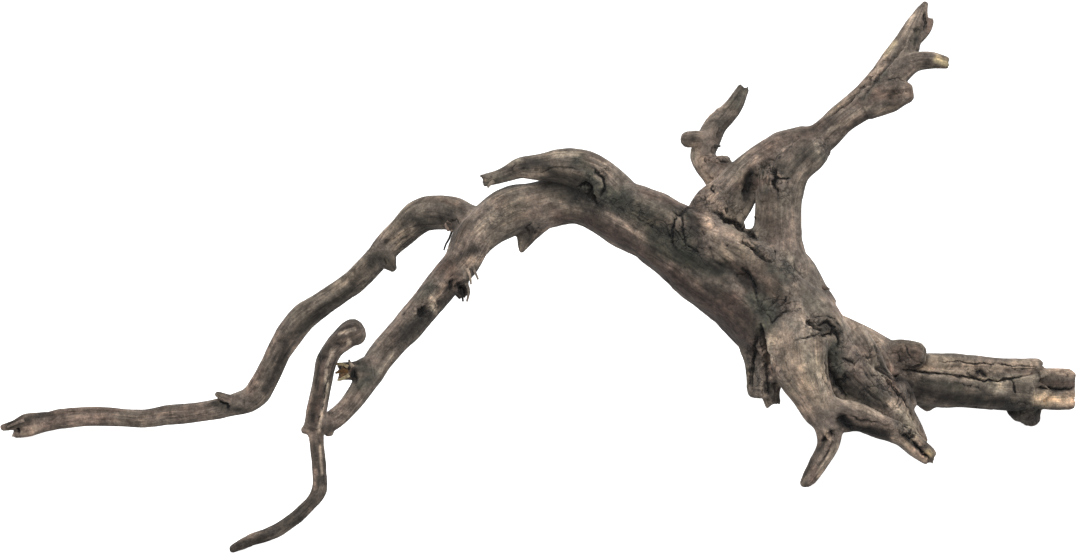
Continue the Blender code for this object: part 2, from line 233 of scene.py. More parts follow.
LIMBS = [
    Limb("trunk", TRUNK),
    Limb("twig", TWIG),
    Limb("cane", CANE),
    Limb("left_arm", LEFT_ARM),
    Limb("left_tip_upper", LEFT_TIP_UPPER),
    Limb("left_tip_lower", LEFT_TIP_LOWER, broken=True),
    Limb("beak", BEAK, broken=True),
    Limb("left_limb", LEFT_LIMB),
    Limb("right_limb", RIGHT_LIMB),
    Limb("crotch", CROTCH),
    Limb("short_fork", SHORT_FORK, broken=True),
    Limb("limb_knob", LIMB_KNOB),
    Limb("splinter", SPLINTER, wide=0.7, broken=True),
    Limb("antler", ANTLER, broken=True),
    Limb("antler_stub", ANTLER_STUB),
    Limb("antler_lump", ANTLER_LUMP),
    Limb("front_root", FRONT_ROOT),
    Limb("root_prong", ROOT_PRONG, broken=True),
    Limb("middle_root", MIDDLE_ROOT),
    Limb("middle_root_lump", MIDDLE_ROOT_LUMP),
    Limb("back_root", BACK_ROOT, square=0.45, broken=True),
    Limb("back_root_end", BACK_ROOT_END, wide=0.85, square=0.8, broken=True),
    Limb("back_root_knob", BACK_ROOT_KNOB),
    Limb("back_root_lump", BACK_ROOT_LUMP),
    Limb("back_root_heel", BACK_ROOT_HEEL),
    Limb("top_plank", TOP_PLANK, wide=2.2, square=0.8, broken=True),
    Limb("bark_strip", BARK_STRIP),
    Limb("bark_strip_inner", BARK_STRIP_INNER),
    Limb("bark_tag", BARK_TAG, wide=0.7, broken=True),
    Limb("bark_plate", BARK_PLATE, wide=0.8, broken=True),
    Limb("bark_plate_outer", BARK_PLATE_OUTER, wide=0.8, broken=True),
    Limb("arch_spike", ARCH_SPIKE, wide=0.7),
    Limb("torn_stub", TORN_STUB, broken=True),
    Limb("small_stub", SMALL_STUB, broken=True),
    Limb("arm_spur", ARM_SPUR),
    Limb("arm_thorn", ARM_THORN),
    Limb("cane_spur", CANE_SPUR),
    Limb("near_arm_spur", NEAR_ARM_SPUR),
]


# Base form


def nearness(toward):
    return 1 - toward * UNIT / EYE_DISTANCE


def place(across, down, toward):
    """The point over the ground that the eye sees at (across, down), at that height out of the plane."""
    x = (across - DRAWING_CENTRE[0]) * UNIT * nearness(toward)
    y = (DRAWING_CENTRE[1] - down) * UNIT * nearness(toward)
    return MIDDLE + np.array([x, 0, 0]) + UP * y + OUT * toward * UNIT


def drawn(points):
    """Where the eye sees each point: (across, down) in the drawing, and toward."""
    offset = points - MIDDLE
    toward = offset @ OUT
    near = 1 - toward / EYE_DISTANCE
    across = offset[:, 0] / UNIT / near + DRAWING_CENTRE[0]
    down = DRAWING_CENTRE[1] - (offset @ UP) / UNIT / near
    return np.stack([across, down], axis=1), toward / UNIT


def smooth_row(values, step):
    """A Catmull-Rom curve through rows (x, y, z, radius), with about one row for each step of length."""
    rows = [2 * values[0] - values[1], *values, 2 * values[-1] - values[-2]]
    curve = []
    for a, b, c, d in zip(rows, rows[1:], rows[2:], rows[3:]):
        count = max(2, round(float(np.linalg.norm((c - b)[:3])) / step))
        for k in range(count):
            t = k / count
            curve.append(
                0.5 * (2 * b + (c - a) * t + (2 * a - 5 * b + 4 * c - d) * t**2
                       + (3 * b - a - 3 * c + d) * t**3)
            )
    curve.append(values[-1])
    return np.array(curve)


class Stem:
    """A limb's centreline with its length, radii and the directions along and across it."""

    def __init__(self, limb, order):
        rows = [
            np.array([*place(a, d, t), r * UNIT * nearness(t) + GROWTH]) for a, d, t, r in limb.stations
        ]
        line = smooth_row(rows, RING_STEP)
        self.limb = limb
        self.order = order
        self.points, self.radii = line[:, :3], line[:, 3]
        self.radius = float(self.radii.mean())
        tangents = np.gradient(self.points, axis=0)
        self.tangents = tangents / np.linalg.norm(tangents, axis=1)[:, None]
        normal, normals = OUT, []
        for tangent in self.tangents:
            normal = normal - tangent * (normal @ tangent)
            normal = normal / np.linalg.norm(normal)
            normals.append(normal)
        self.normals = np.array(normals)
        self.sides = np.cross(self.tangents, self.normals)
        steps = np.linalg.norm(np.diff(self.points, axis=0), axis=1)
        self.lengths = np.concatenate([[0], np.cumsum(steps)])

    def coordinates(self, points):
        """Length along the stem, angle round it and distance outside it, for points near it."""
        nearest = np.empty(len(points), int)
        for first in range(0, len(points), BATCH):
            some = points[first:first + BATCH]
            gaps = (some**2).sum(1)[:, None] - 2 * some @ self.points.T + (self.points**2).sum(1)[None]
            nearest[first:first + BATCH] = gaps.argmin(axis=1)
        offset = points - self.points[nearest]
        ahead = (offset * self.tangents[nearest]).sum(1)
        across = offset - self.tangents[nearest] * ahead[:, None]
        angle = np.arctan2(
            (across * self.sides[nearest]).sum(1), (across * self.normals[nearest]).sum(1)
        )
        length = self.lengths[nearest] + ahead
        past = np.maximum(np.maximum(-length, length - self.lengths[-1]), 0)
        outside = np.linalg.norm(across, axis=1) - self.radii[nearest]
        outside = np.where(past > 0, np.hypot(np.maximum(outside, 0), past), outside)
        return length, angle, outside, nearest


def section(name, angles, lengths, radius):
    """How far the wood stands out, as a share of the radius, at angles round it and lengths along it."""
    draw = random.Random(name)
    share = np.ones(np.broadcast(angles, lengths).shape)
    for count, depth in FLUTES:
        depth *= draw.uniform(0.7, 1.3)
        turn = draw.uniform(0, math.tau)
        twist = draw.uniform(-1, 1) * FLUTE_TWIST
        share = share + depth * np.cos(count * angles + turn + twist * lengths)
    for count, length, depth in LUMPS:
        turn = draw.uniform(0, math.tau)
        share = share + depth * np.sin(math.tau * lengths / (length * radius) + count * angles + turn)
    return share


def rounded(values, square):
    """A section's sines or cosines, pushed out toward a box where the limb is square."""
    return np.sign(values) * np.abs(values) ** (1 - SQUARING * square)


def splinters(limb, radius):
    """How far each spoke of a broken end stands out or in."""
    draw = random.Random(limb.name + " end")
    most = SAWN_JAG if limb.square > SAWN_SQUARE else JAG
    jag = np.array([draw.uniform(-most, most) for _ in range(SIDES)])
    return (jag + np.roll(jag, 1)) / 2 * radius


def tube(stem):
    """Vertices and faces of a stem as one closed tube."""
    limb = stem.limb
    angles = np.arange(SIDES) * math.tau / SIDES
    share = section(limb.name, angles[None, :], stem.lengths[:, None], stem.radius)
    along_normal = limb.wide * rounded(np.cos(angles), limb.square)
    along_side = rounded(np.sin(angles), limb.square)
    spokes = stem.normals[:, None, :] * along_normal[None, :, None]
    spokes = spokes + stem.sides[:, None, :] * along_side[None, :, None]
    rings = stem.points[:, None, :] + spokes * (stem.radii[:, None] * share)[:, :, None]
    if limb.broken:
        rings[-1] += stem.tangents[-1] * splinters(limb, stem.radii[-1])[:, None]
    tip = BROKEN_TIP if limb.broken else ROUND_TIP
    last, reach = stem.points[-1], stem.tangents[-1] * stem.radii[-1]
    closing = [last + reach * advance + (rings[-1] - last) * width for advance, width in tip]
    rings = np.concatenate([rings, np.array(closing)])
    vertices = [*rings.reshape(-1, 3), stem.points[0], last + reach * tip[-1][0]]
    faces = []
    for ring in range(len(rings) - 1):
        for k in range(SIDES):
            here, beside = ring * SIDES + k, ring * SIDES + (k + 1) % SIDES
            faces.append((here, beside, beside + SIDES, here + SIDES))
    root, end, outer = len(vertices) - 2, len(vertices) - 1, (len(rings) - 1) * SIDES
    for k in range(SIDES):
        faces.append((root, (k + 1) % SIDES, k))
        faces.append((end, outer + k, outer + (k + 1) % SIDES))
    return vertices, faces


def joined_tubes(stems):
    """The stems' tubes in one list of vertices and one of faces, and each tube's number of vertices."""
    vertices, faces, counts = [], [], []
    for stem in stems:
        more_vertices, more_faces = tube(stem)
        faces += [tuple(len(vertices) + i for i in face) for face in more_faces]
        vertices += more_vertices
        counts.append(len(more_vertices))
    return vertices, faces, counts


# Mesh helpers


def mesh_object(name, vertices, faces):
    mesh = bpy.data.meshes.new(name)
    mesh.from_pydata([tuple(v) for v in vertices], [], [tuple(f) for f in faces])
    made = bpy.data.objects.new(name, mesh)
    bpy.context.scene.collection.objects.link(made)
    return made


def evaluated_arrays(obj):
    """Points and triangles of an object with its modifiers."""
    bpy.context.view_layer.update()
    evaluated = obj.evaluated_get(bpy.context.evaluated_depsgraph_get())
    mesh = evaluated.to_mesh()
    mesh.calc_loop_triangles()
    points = np.empty(len(mesh.vertices) * 3, np.float32)
    mesh.vertices.foreach_get("co", points)
    triangles = np.empty(len(mesh.loop_triangles) * 3, np.int32)
    mesh.loop_triangles.foreach_get("vertices", triangles)
    evaluated.to_mesh_clear()
    return points.reshape(-1, 3).astype(float), triangles.reshape(-1, 3)


def edges_of(triangles):
    """Each edge once, as the numbers of its two ends."""
    ends = np.concatenate([triangles[:, [0, 1]], triangles[:, [1, 2]], triangles[:, [2, 0]]])
    return np.unique(np.sort(ends, axis=1), axis=0)


def averaged(values, edges, degree):
    """Each vertex's mean over its neighbours."""
    sums = np.empty_like(values)
    for k in range(values.shape[1]):
        sums[:, k] = np.bincount(edges[:, 0], values[edges[:, 1], k], len(values))
        sums[:, k] += np.bincount(edges[:, 1], values[edges[:, 0], k], len(values))
    return sums / degree[:, None]


def blurred(values, edges, degree, times):
    """The values after so many steps halfway toward their neighbours' mean."""
    for _ in range(times):
        values = values * 0.5 + averaged(values, edges, degree) * 0.5
    return values


def vertex_normals(points, triangles):
    a, b, c = (points[triangles[:, k]] for k in range(3))
    facing = np.cross(b - a, c - a)
    normals = np.zeros_like(points)
    for k in range(3):
        for corner in range(3):
            normals[:, k] += np.bincount(triangles[:, corner], facing[:, k], len(points))
    return normals / np.maximum(np.linalg.norm(normals, axis=1), 1e-12)[:, None]


# Noise


def lattice(x, y, z, seed):
    """A fixed random number from -1 to 1 for each whole-numbered point."""
    mixed = x * 374761393 + y * 668265263 + z * 1442695041 + seed * 974634777
    mixed = (mixed ^ (mixed >> 13)) * 1274126177 & 0xFFFFFFFF
    mixed = (mixed ^ (mixed >> 16)) * 2246822519 & 0xFFFFFFFF
    return (mixed ^ (mixed >> 15)) / 0xFFFFFFFF * 2 - 1


def noise(points, seed):
    """Smooth noise from -1 to 1 with features about one unit across."""
    cell = np.floor(points).astype(np.int64)
    part = points - cell
    part = part**3 * (part * (part * 6 - 15) + 10)
    total = np.zeros(len(points))
    for i in (0, 1):
        for j in (0, 1):
            for k in (0, 1):
                share = np.abs(1 - i - part[:, 0]) * np.abs(1 - j - part[:, 1]) * np.abs(1 - k - part[:, 2])
                total += share * lattice(*(cell + (i, j, k)).T, seed)
    return total


def layered(points, seed, layers):
    """Smooth noise with finer and weaker layers of itself."""
    total, weight = 0, 0
    for k in range(layers):
        total = total + noise(points * 2.03**k, seed + 17 * k) * 0.5**k
        weight += 0.5**k
    return total / weight


def ramp(values, low, high):
    """0 below low, 1 above high and smooth between them."""
    t = np.clip((values - low) / (high - low), 0, 1)
    return t * t * (3 - 2 * t)


# Limb space

# How far outside a stem its space reaches, and how wide the blend is where two stems meet
SPACE_REACH = 0.008
MEETING_WIDTH = 0.0012
MEETING_SHARE = 0.10
# Streaks sway slowly round a stem, and each stem has its own place in the noise
SWAY = 0.5
SWAY_LENGTH = 0.035
SWAY_SHIFT = 3.7
STREAK_SHIFT = 13.7


class LimbSpace:
    """Where each vertex lies on the stem nearest to it and on the second nearest."""

    def __init__(self, stems, points):
        count = len(points)
        self.outside = np.full((2, count), 1e3)
        self.stem = np.zeros((2, count), int)
        self.length = np.zeros((2, count))
        self.angle = np.zeros((2, count))
        self.radius = np.full((2, count), 0.01)
        for stem in stems:
            reach = stem.radii.max() + SPACE_REACH
            low, high = stem.points.min(0) - reach, stem.points.max(0) + reach
            near = np.flatnonzero(((points > low) & (points < high)).all(axis=1))
            if not len(near):
                continue
            length, angle, outside, nearest = stem.coordinates(points[near])
            for rank in (0, 1):
                better = outside < self.outside[rank, near]
                if rank == 0:
                    moved = near[better]
                    for values in (self.outside, self.stem, self.length, self.angle, self.radius):
                        values[1, moved] = values[0, moved]
                    first = better
                else:
                    better &= ~first
                chosen = near[better]
                self.outside[rank, chosen] = outside[better]
                self.stem[rank, chosen] = stem.order
                self.length[rank, chosen] = length[better]
                self.angle[rank, chosen] = angle[better]
                self.radius[rank, chosen] = stem.radii[nearest[better]]
        spread = MEETING_WIDTH + MEETING_SHARE * self.radius[0]
        second = np.exp(-np.clip(self.outside[1] - self.outside[0], 0, None) / spread)
        self.second = second / (1 + second)
        self.mean_radius = np.array([stem.radius for stem in stems])
        self.square = np.array([stem.limb.square > 0 for stem in stems])[self.stem[0]]

    def streaks(self, seed, along, across, layers=1):
        """Noise drawn out along the stems, with streaks of that length and width."""
        total = 0
        for rank, weight in ((0, 1 - self.second), (1, self.second)):
            radius = self.mean_radius[self.stem[rank]]
            level = np.zeros_like(self.angle[rank])
            place_along = [self.length[rank] / SWAY_LENGTH, self.stem[rank] * SWAY_SHIFT, level]
            angle = self.angle[rank] + SWAY * noise(np.stack(place_along, 1), seed + 5)
            where = np.stack([
                self.length[rank] / along + self.stem[rank] * STREAK_SHIFT,
                np.cos(angle) * radius / across,
                np.sin(angle) * radius / across,
            ], 1)
            total = total + weight * layered(where, seed, layers)
        return total


# Carving


def line_distance(where, line):
    """Distance from each point to a line of the drawing, and how far along it, from 0 to 1."""
    line = np.array(line, float)
    if len(line) == 1:
        return np.linalg.norm(where - line[0], axis=1), np.full(len(where), 0.5)
    steps = np.linalg.norm(np.diff(line, axis=0), axis=1)
    whole = max(steps.sum(), 1e-9)
    best, along, walked = np.full(len(where), 1e9), np.zeros(len(where)), 0.0
    for a, b, step in zip(line, line[1:], steps):
        t = np.clip(((where - a) @ (b - a)) / max(step**2, 1e-9), 0, 1)
        gap = np.linalg.norm(where - (a + t[:, None] * (b - a)), axis=1)
        closer = gap < best
        best = np.where(closer, gap, best)
        along = np.where(closer, (walked + t * step) / whole, along)
        walked += step
    return best, along


# Grooves (depth below 0) and ridges (above 0) along lines of the drawing: line, half width, depth in mm,
# darkness, which is painted shade in the groove, and, where another stem lies under the same lines, the stems
# that are cut
CARVING = [
    # crown: crevices beside the front root
    ([(760, 325), (762, 345), (764, 360), (766, 376)], 2.8, -5.0, 1.0),
    ([(757, 333), (754, 350), (755, 361), (750, 376), (752, 392)], 1.8, -3.0, 1.0),
    ([(768, 372), (768, 385), (769, 396)], 3.0, -4.0, 1.0),
    ([(773, 384), (778, 389), (785, 391)], 3.5, -2.0, 0.7),
    ([(760, 378), (760, 390)], 4.5, 1.8, 0.0),
    ([(747, 372), (746, 388)], 3.0, 1.0, 0.0),
    ([(774, 372), (782, 382)], 7.0, 1.8, 0.0),
    ([(764, 307), (768, 315), (772, 323), (777, 318), (786, 311), (800, 309)], 1.6, -1.8, 0.95),
    ([(779, 296), (774, 304), (768, 311)], 1.5, -1.3, 0.8),
    ([(786, 295), (782, 303), (777, 309)], 1.3, -1.2, 0.8),
    ([(758, 300), (762, 309), (760, 318)], 1.4, -1.2, 0.8),
    ([(808, 319), (814, 326), (823, 332)], 1.5, -2.6, 1.0),
    ([(820, 325), (828, 323), (834, 328), (831, 335), (823, 335)], 1.5, -2.8, 1.0),
    ([(834, 331), (838, 338), (840, 347)], 1.4, -2.2, 1.0),
    ([(816, 317), (826, 316), (836, 320), (841, 328)], 1.1, -1.5, 0.9),
    ([(813, 321), (824, 319), (834, 322)], 1.8, 1.4, 0.0),
    ([(827, 329)], 1.8, 1.4, 0.0),
    ([(793, 339), (806, 338), (816, 335), (823, 333)], 1.0, -1.3, 0.9),
    ([(831, 352), (830, 362), (830, 370), (834, 380), (838, 389), (845, 396)], 3.2, -4.5, 1.0),
    ([(835, 350), (836, 366)], 2.5, -1.8, 0.9),
    ([(821, 375), (827, 383), (832, 391)], 1.0, -1.1, 0.8),
    ([(808, 373)], 2.2, -0.8, 0.5),
    # middle root
    ([(842, 357), (848, 361), (854, 364)], 1.6, -2.2, 1.0),
    ([(838, 366), (846, 372), (858, 372)], 2.0, -0.9, 0.5),
    ([(847, 353), (856, 357)], 5.0, 1.2, 0.0),
    ([(839, 380), (844, 384), (845, 376), (849, 381)], 1.6, -2.4, 1.0),
    ([(862, 345), (869, 343), (875, 346), (877, 353), (873, 358), (866, 357), (862, 351)], 1.2, -1.3, 0.8),
    ([(872, 332), (880, 345), (884, 356), (890, 365), (898, 374)], 2.0, 1.5, 0.0),
    ([(867, 334), (877, 348), (880, 361), (888, 371)], 1.4, -1.2, 0.7),
    ([(852, 340), (860, 350), (864, 361), (874, 365)], 1.6, -1.1, 0.6),
    ([(876, 365), (882, 369), (888, 374), (896, 378), (902, 381)], 2.1, -2.8, 1.0),
    ([(878, 359), (886, 367), (894, 374)], 1.3, -1.2, 0.8),
    ([(876, 384), (882, 390), (889, 390), (891, 382), (886, 378)], 1.1, -1.1, 0.8),
    ([(868, 394), (876, 398), (884, 402), (890, 410)], 1.3, -1.1, 0.8),
    ([(881, 384)], 7.0, 1.4, 0.0),
    ([(858, 366), (865, 372), (870, 380)], 1.2, -1.6, 0.9),
    ([(884, 376), (893, 384), (899, 392), (903, 400)], 1.4, -2.0, 1.0),
    ([(872, 374), (880, 377)], 1.0, -1.2, 0.9),
    ([(853, 377), (862, 385), (873, 389)], 1.3, -1.4, 0.8),
    ([(905, 384), (911, 393), (914, 402)], 2.0, -1.6, 0.8),
    ([(899, 391), (905, 402), (910, 412), (916, 423)], 1.1, -1.4, 0.9),
    ([(896, 395), (903, 409), (914, 425), (922, 436)], 3.0, 1.4, 0.0),
    # forked end of the front root
    ([(840, 398), (860, 406), (882, 418), (898, 423)], 3.0, 1.0, 0.0, ("root_prong",)),
    ([(843, 411), (852, 416), (864, 421), (880, 423), (892, 428)],
     2.2, -1.6, 0.8, ("root_prong", "front_root")),
    ([(840, 416), (845, 425), (851, 431)], 4.0, -4.0, 1.0),
    ([(848, 424), (860, 428), (872, 430)], 1.6, -1.0, 0.7, ("root_prong",)),
    ([(903, 427), (906, 425)], 2.2, -2.4, 1.0),
    ([(908, 431), (915, 437)], 2.2, -2.8, 1.0),
    ([(903, 435), (911, 440)], 2.0, -2.4, 1.0),
    ([(906, 424), (914, 430)], 2.4, 1.3, 0.0),
    ([(911, 440), (919, 449), (929, 460)], 1.1, -2.2, 1.0),
    ([(918, 441), (925, 447), (931, 455)], 1.0, -1.2, 0.9),
    ([(830, 431), (833, 438)], 2.8, -3.2, 1.0),
    ([(820, 440), (827, 441)], 2.2, -2.6, 1.0),
    ([(838, 441), (831, 453), (823, 464), (814, 477)], 2.0, 1.0, 0.0, ("front_root",)),
    ([(833, 443), (826, 455), (818, 467)], 1.6, -1.8, 0.9, ("front_root",)),
    # where the two upright stems leave the crown
    ([(714, 212), (720, 214), (727, 220), (735, 222), (741, 228), (748, 233), (756, 238)], 2.3, -4.2, 1.0),
    ([(726, 206), (728, 213)], 1.2, -1.6, 1.0),
    ([(738, 221), (741, 229)], 1.2, -1.6, 0.9),
    ([(740, 240), (748, 244), (755, 250), (763, 257), (773, 263)], 1.7, -2.8, 1.0),
    ([(749, 238), (757, 244), (758, 251)], 1.2, -1.4, 0.8),
    ([(757, 242), (768, 246), (778, 252)], 4.5, 1.7, 0.0),
    ([(775, 250), (775, 256)], 0.9, -1.5, 1.0),
    ([(787, 256)], 3.5, 1.2, 0.0),
    ([(793, 261), (798, 269), (804, 278)], 1.2, -1.2, 0.8),
    ([(774, 266), (782, 271)], 2.0, -1.0, 0.7),
    ([(712, 184), (711, 189), (714, 192)], 0.9, -1.6, 1.0),
    ([(703, 197), (706, 203), (705, 208)], 1.5, -1.3, 0.8),
    ([(722, 184), (715, 196), (711, 209)], 2.5, 1.1, 0.0),
    ([(730, 190), (728, 200), (731, 208)], 2.0, -0.9, 0.5),
    ([(751, 170), (750, 182), (747, 198)], 5.5, -5.2, 1.0),
    ([(758, 164), (757, 180), (758, 198), (760, 216)], 1.2, 1.0, 0.0),
    ([(762, 163), (764, 176), (763, 190)], 1.1, -1.2, 0.7),
    ([(768, 162), (770, 172), (769, 184), (765, 192)], 1.3, -1.3, 0.8),
    ([(773, 167), (774, 179), (775, 187), (778, 194)], 1.5, -3.4, 1.0),
    ([(774, 176), (783, 179), (791, 179)], 1.2, -2.2, 1.0),
    ([(790, 180), (787, 190), (779, 193)], 1.0, -1.2, 0.7),
    ([(797, 137), (787, 149), (781, 156), (772, 163)], 1.9, -2.6, 0.9),
    ([(798, 129), (795, 138), (789, 150), (781, 161)], 1.8, 1.1, 0.0),
    ([(765, 160), (774, 160)], 1.5, -1.1, 0.7),
    ([(753, 217), (757, 216)], 1.6, 1.0, 0.0),
    # collar and hollow of the crown
    ([(706, 214), (711, 228), (718, 243), (727, 256), (741, 265)], 3.6, 2.6, 0.0),
    ([(698, 212), (702, 230), (708, 247), (718, 261), (732, 270)], 3.0, -2.6, 0.6),
    ([(727, 246)], 1.6, -1.7, 1.0),
    ([(738, 269), (745, 275), (752, 284), (757, 295)], 5.5, -5.0, 0.75),
    ([(742, 268), (750, 274), (756, 284), (758, 298)], 2.0, -2.6, 1.0),
    ([(745, 279), (751, 288)], 1.8, 1.0, 0.0),
    ([(714, 280), (728, 284), (740, 294), (749, 307)], 4.5, 2.4, 0.0),
    # cracked skin on the trunk
    ([(692, 205), (685, 210), (679, 214), (673, 211)], 1.5, -2.0, 1.0),
    ([(677, 214), (675, 223), (672, 233), (673, 243), (677, 251)], 1.1, -2.2, 1.0),
    ([(683, 213), (682, 225), (685, 236), (686, 246)], 1.1, -2.2, 1.0),
    ([(664, 225), (668, 232), (671, 241), (675, 247)], 1.0, -1.3, 0.9),
    ([(674, 227), (681, 236), (685, 243)], 0.9, -1.3, 0.9),
    ([(688, 244), (694, 250), (699, 255)], 1.2, -2.1, 1.0),
    ([(668, 219), (672, 225)], 3.0, 0.9, 0.0),
    ([(680, 224), (679, 236)], 2.4, 0.9, 0.0),
    ([(689, 222)], 3.4, 0.9, 0.0),
    ([(679, 243), (682, 250)], 3.0, 0.7, 0.0),
    # long furrow between the trunk's upper skin and its lower wood
    ([(590, 200), (600, 204), (612, 211), (626, 221), (640, 231),
      (655, 243), (668, 256), (684, 266), (704, 280)], 2.0, -1.5, 0.75),
    ([(612, 206), (626, 211), (640, 218), (652, 226), (658, 234)], 1.3, -1.3, 0.85),
    ([(626, 207), (638, 213), (650, 222), (660, 231)], 1.1, -1.1, 0.8),
    ([(606, 209), (622, 219), (640, 231), (658, 247), (676, 262)], 3.5, 1.0, 0.0),
    ([(640, 244), (664, 262), (690, 279), (716, 296)], 2.6, -0.9, 0.4),
    ([(668, 270), (694, 288), (720, 306)], 3.0, 0.8, 0.0),
    # foot of the beak
    ([(594, 167), (598, 174), (604, 178), (605, 188), (601, 198)], 1.4, -2.2, 1.0),
    ([(577, 187), (584, 184), (590, 188), (589, 196), (596, 203)], 1.8, -3.0, 1.0),
    ([(586, 192), (592, 199), (598, 206)], 1.1, -1.5, 0.9),
    ([(598, 186)], 4.0, 0.9, 0.0),
    ([(601, 166), (604, 172)], 2.4, 1.2, 0.0),
    # beak
    ([(541, 172), (556, 168), (572, 168), (582, 170)], 1.5, -1.2, 0.7, ("beak",)),
    ([(517, 160), (512, 168), (514, 175)], 1.3, -1.1, 0.6, ("beak",)),
    ([(525, 168), (520, 172)], 3.0, -0.8, 0.6, ("beak",)),
    ([(552, 160), (566, 156), (578, 157)], 2.4, 0.9, 0.0, ("beak",)),
    # arch
    ([(532, 195), (548, 193), (562, 195)], 3.2, 0.8, 0.0, ("trunk",)),
    ([(534, 222), (526, 229), (530, 236)], 1.5, -1.4, 0.9),
    ([(540, 225), (535, 234)], 1.6, -1.3, 0.9),
    ([(472, 248), (480, 235), (492, 219), (505, 209)], 2.4, 0.9, 0.0, ("trunk",)),
    ([(478, 256), (488, 238), (502, 222)], 2.0, -0.8, 0.4, ("trunk",)),
    # near arm: torn stub, knot hole, broken twig
    ([(452, 279), (453, 290)], 2.4, -2.6, 1.0, ("trunk", "torn_stub")),
    ([(458, 284), (464, 289), (466, 297)], 4.0, -3.4, 1.0, ("trunk", "torn_stub")),
    ([(446, 283), (440, 291), (437, 300)], 1.8, 1.1, 0.0, ("trunk",)),
    ([(468, 261), (463, 272), (466, 280)], 1.5, 1.2, 0.0, ("trunk", "torn_stub")),
    ([(458, 270), (450, 276)], 1.3, -1.2, 0.8, ("trunk",)),
    ([(420, 307), (424, 316)], 4.8, -4.2, 1.0, ("trunk",)),
    ([(424, 297), (421, 303)], 2.0, -1.3, 0.9, ("trunk",)),
    ([(433, 299), (432, 308), (430, 318)], 3.0, 2.0, 0.0, ("trunk",)),
    ([(430, 306)], 1.1, -1.4, 0.9, ("trunk",)),
    ([(412, 316), (402, 330), (388, 346)], 2.4, -0.7, 0.4, ("trunk",)),
    ([(354, 370), (355, 380)], 3.2, -2.4, 1.0, ("trunk", "small_stub")),
    # cane and twig
    ([(336, 342), (342, 346), (347, 341)], 1.8, -0.9, 0.7, ("cane",)),
    ([(319, 352), (321, 363)], 1.8, -1.2, 0.9, ("cane",)),
    ([(333, 356), (328, 372), (325, 390), (322, 406), (318, 428)], 1.1, -1.2, 0.9, ("cane",)),
    # far arm
    ([(18, 428), (20, 433)], 1.2, -1.2, 1.0),
    ([(24, 425), (40, 423), (55, 417), (70, 412)], 1.5, -1.0, 0.7, ("left_arm",)),
    ([(219, 401), (226, 404), (230, 411)], 1.5, -1.6, 1.0, ("left_arm", "arm_thorn")),
    ([(384, 258), (387, 265)], 1.5, -1.5, 0.9, ("left_arm", "arm_spur")),
    ([(386, 246), (392, 251), (393, 262)], 1.3, 1.0, 0.0, ("left_arm", "arm_spur")),
    ([(388, 243), (398, 232), (410, 229)], 1.5, 1.2, 0.0, ("left_arm",)),
    ([(392, 250), (402, 240), (414, 232)], 1.5, -1.0, 0.7, ("left_arm",)),
    ([(449, 224), (455, 219), (459, 224)], 1.2, -1.2, 0.8),
    # upright limb
    ([(826, 120), (842, 108), (856, 94), (866, 84), (876, 72)], 1.5, -2.1, 0.9),
    ([(836, 126), (852, 113), (868, 104)], 1.6, 1.0, 0.0),
    ([(905, 45), (894, 56), (884, 68), (874, 81), (864, 98)], 1.6, -2.1, 0.85),
    ([(886, 80), (896, 78), (906, 80)], 1.0, -1.1, 0.8),
    ([(897, 92), (889, 98)], 4.0, -3.0, 0.8),
    ([(906, 91)], 1.4, -1.2, 0.9),
    ([(918, 27), (917, 36), (915, 43)], 4.6, -2.6, 0.65),
    ([(925, 12), (926, 22), (924, 30)], 1.2, -2.0, 1.0),
    ([(915, 46), (919, 50)], 1.6, 1.0, 0.0),
    ([(826, 142)], 2.0, -0.8, 0.7),
    ([(815, 143), (819, 149)], 2.4, 0.9, 0.0),
    ([(800, 148), (806, 156), (804, 164)], 3.2, -0.9, 0.5),
    # antler
    ([(716, 116), (720, 127), (719, 139)], 1.1, -1.1, 0.8, ("antler",)),
    ([(718, 110)], 2.6, 1.2, 0.0, ("antler",)),
    ([(706, 160)], 2.2, -1.1, 0.8, ("antler", "antler_lump")),
    ([(712, 163)], 1.5, -1.0, 0.8, ("antler", "antler_lump")),
    ([(716, 158), (722, 162), (729, 163)], 1.3, -1.4, 0.9, ("antler", "antler_lump")),
    ([(712, 147), (712, 154)], 1.8, -1.1, 0.8, ("antler",)),
    # back root: knob and split planks
    ([(897, 348), (899, 356), (902, 364)], 4.0, -3.4, 0.9),
    ([(905, 345), (909, 355), (915, 362), (925, 365)], 1.1, -1.5, 0.9),
    ([(905, 367), (914, 368), (926, 366)], 1.3, -1.6, 0.9),
    ([(880, 341), (890, 348), (893, 360)], 3.0, 1.0, 0.0),
    ([(903, 371), (920, 371), (940, 373), (960, 376), (984, 381), (1004, 380), (1020, 377), (1034, 373)],
     1.2, -2.2, 1.0),
    ([(938, 362), (955, 361), (980, 363), (1010, 365), (1038, 366)], 1.1, -1.8, 0.95),
    ([(1008, 366), (1014, 369), (1036, 368)], 1.3, -1.2, 0.9),
    ([(976, 372), (982, 371), (987, 377)], 2.2, -2.4, 1.0),
    ([(966, 369), (972, 377), (984, 380)], 1.0, -1.2, 0.9),
    ([(955, 384), (975, 388), (992, 390)], 1.8, -1.4, 0.9),
    ([(970, 396), (985, 398), (997, 391)], 2.0, 1.4, 0.0),
    ([(998, 384), (1006, 390)], 3.5, 1.3, 0.0),
    ([(1012, 379), (1014, 386), (1016, 393)], 1.2, -1.6, 1.0),
    ([(1020, 388), (1028, 388)], 4.0, 0.8, 0.0),
    ([(990, 403), (1010, 401), (1030, 405)], 2.0, -1.2, 0.8),
    ([(1036, 388), (1050, 388), (1076, 389)], 1.7, -2.6, 1.0),
    ([(1039, 372), (1040, 384)], 1.2, -1.2, 0.8),
    ([(1040, 396), (1070, 397)], 3.0, 0.8, 0.0),
    ([(1018, 412), (1026, 416)], 2.6, -1.4, 0.8),
]


def swayed(points, where, seed, size, reach):
    """Places in the drawing, moved by up to about that many of its units."""
    return where + reach * np.stack([noise(points / size, seed), noise(points / size, seed + 1)], 1)


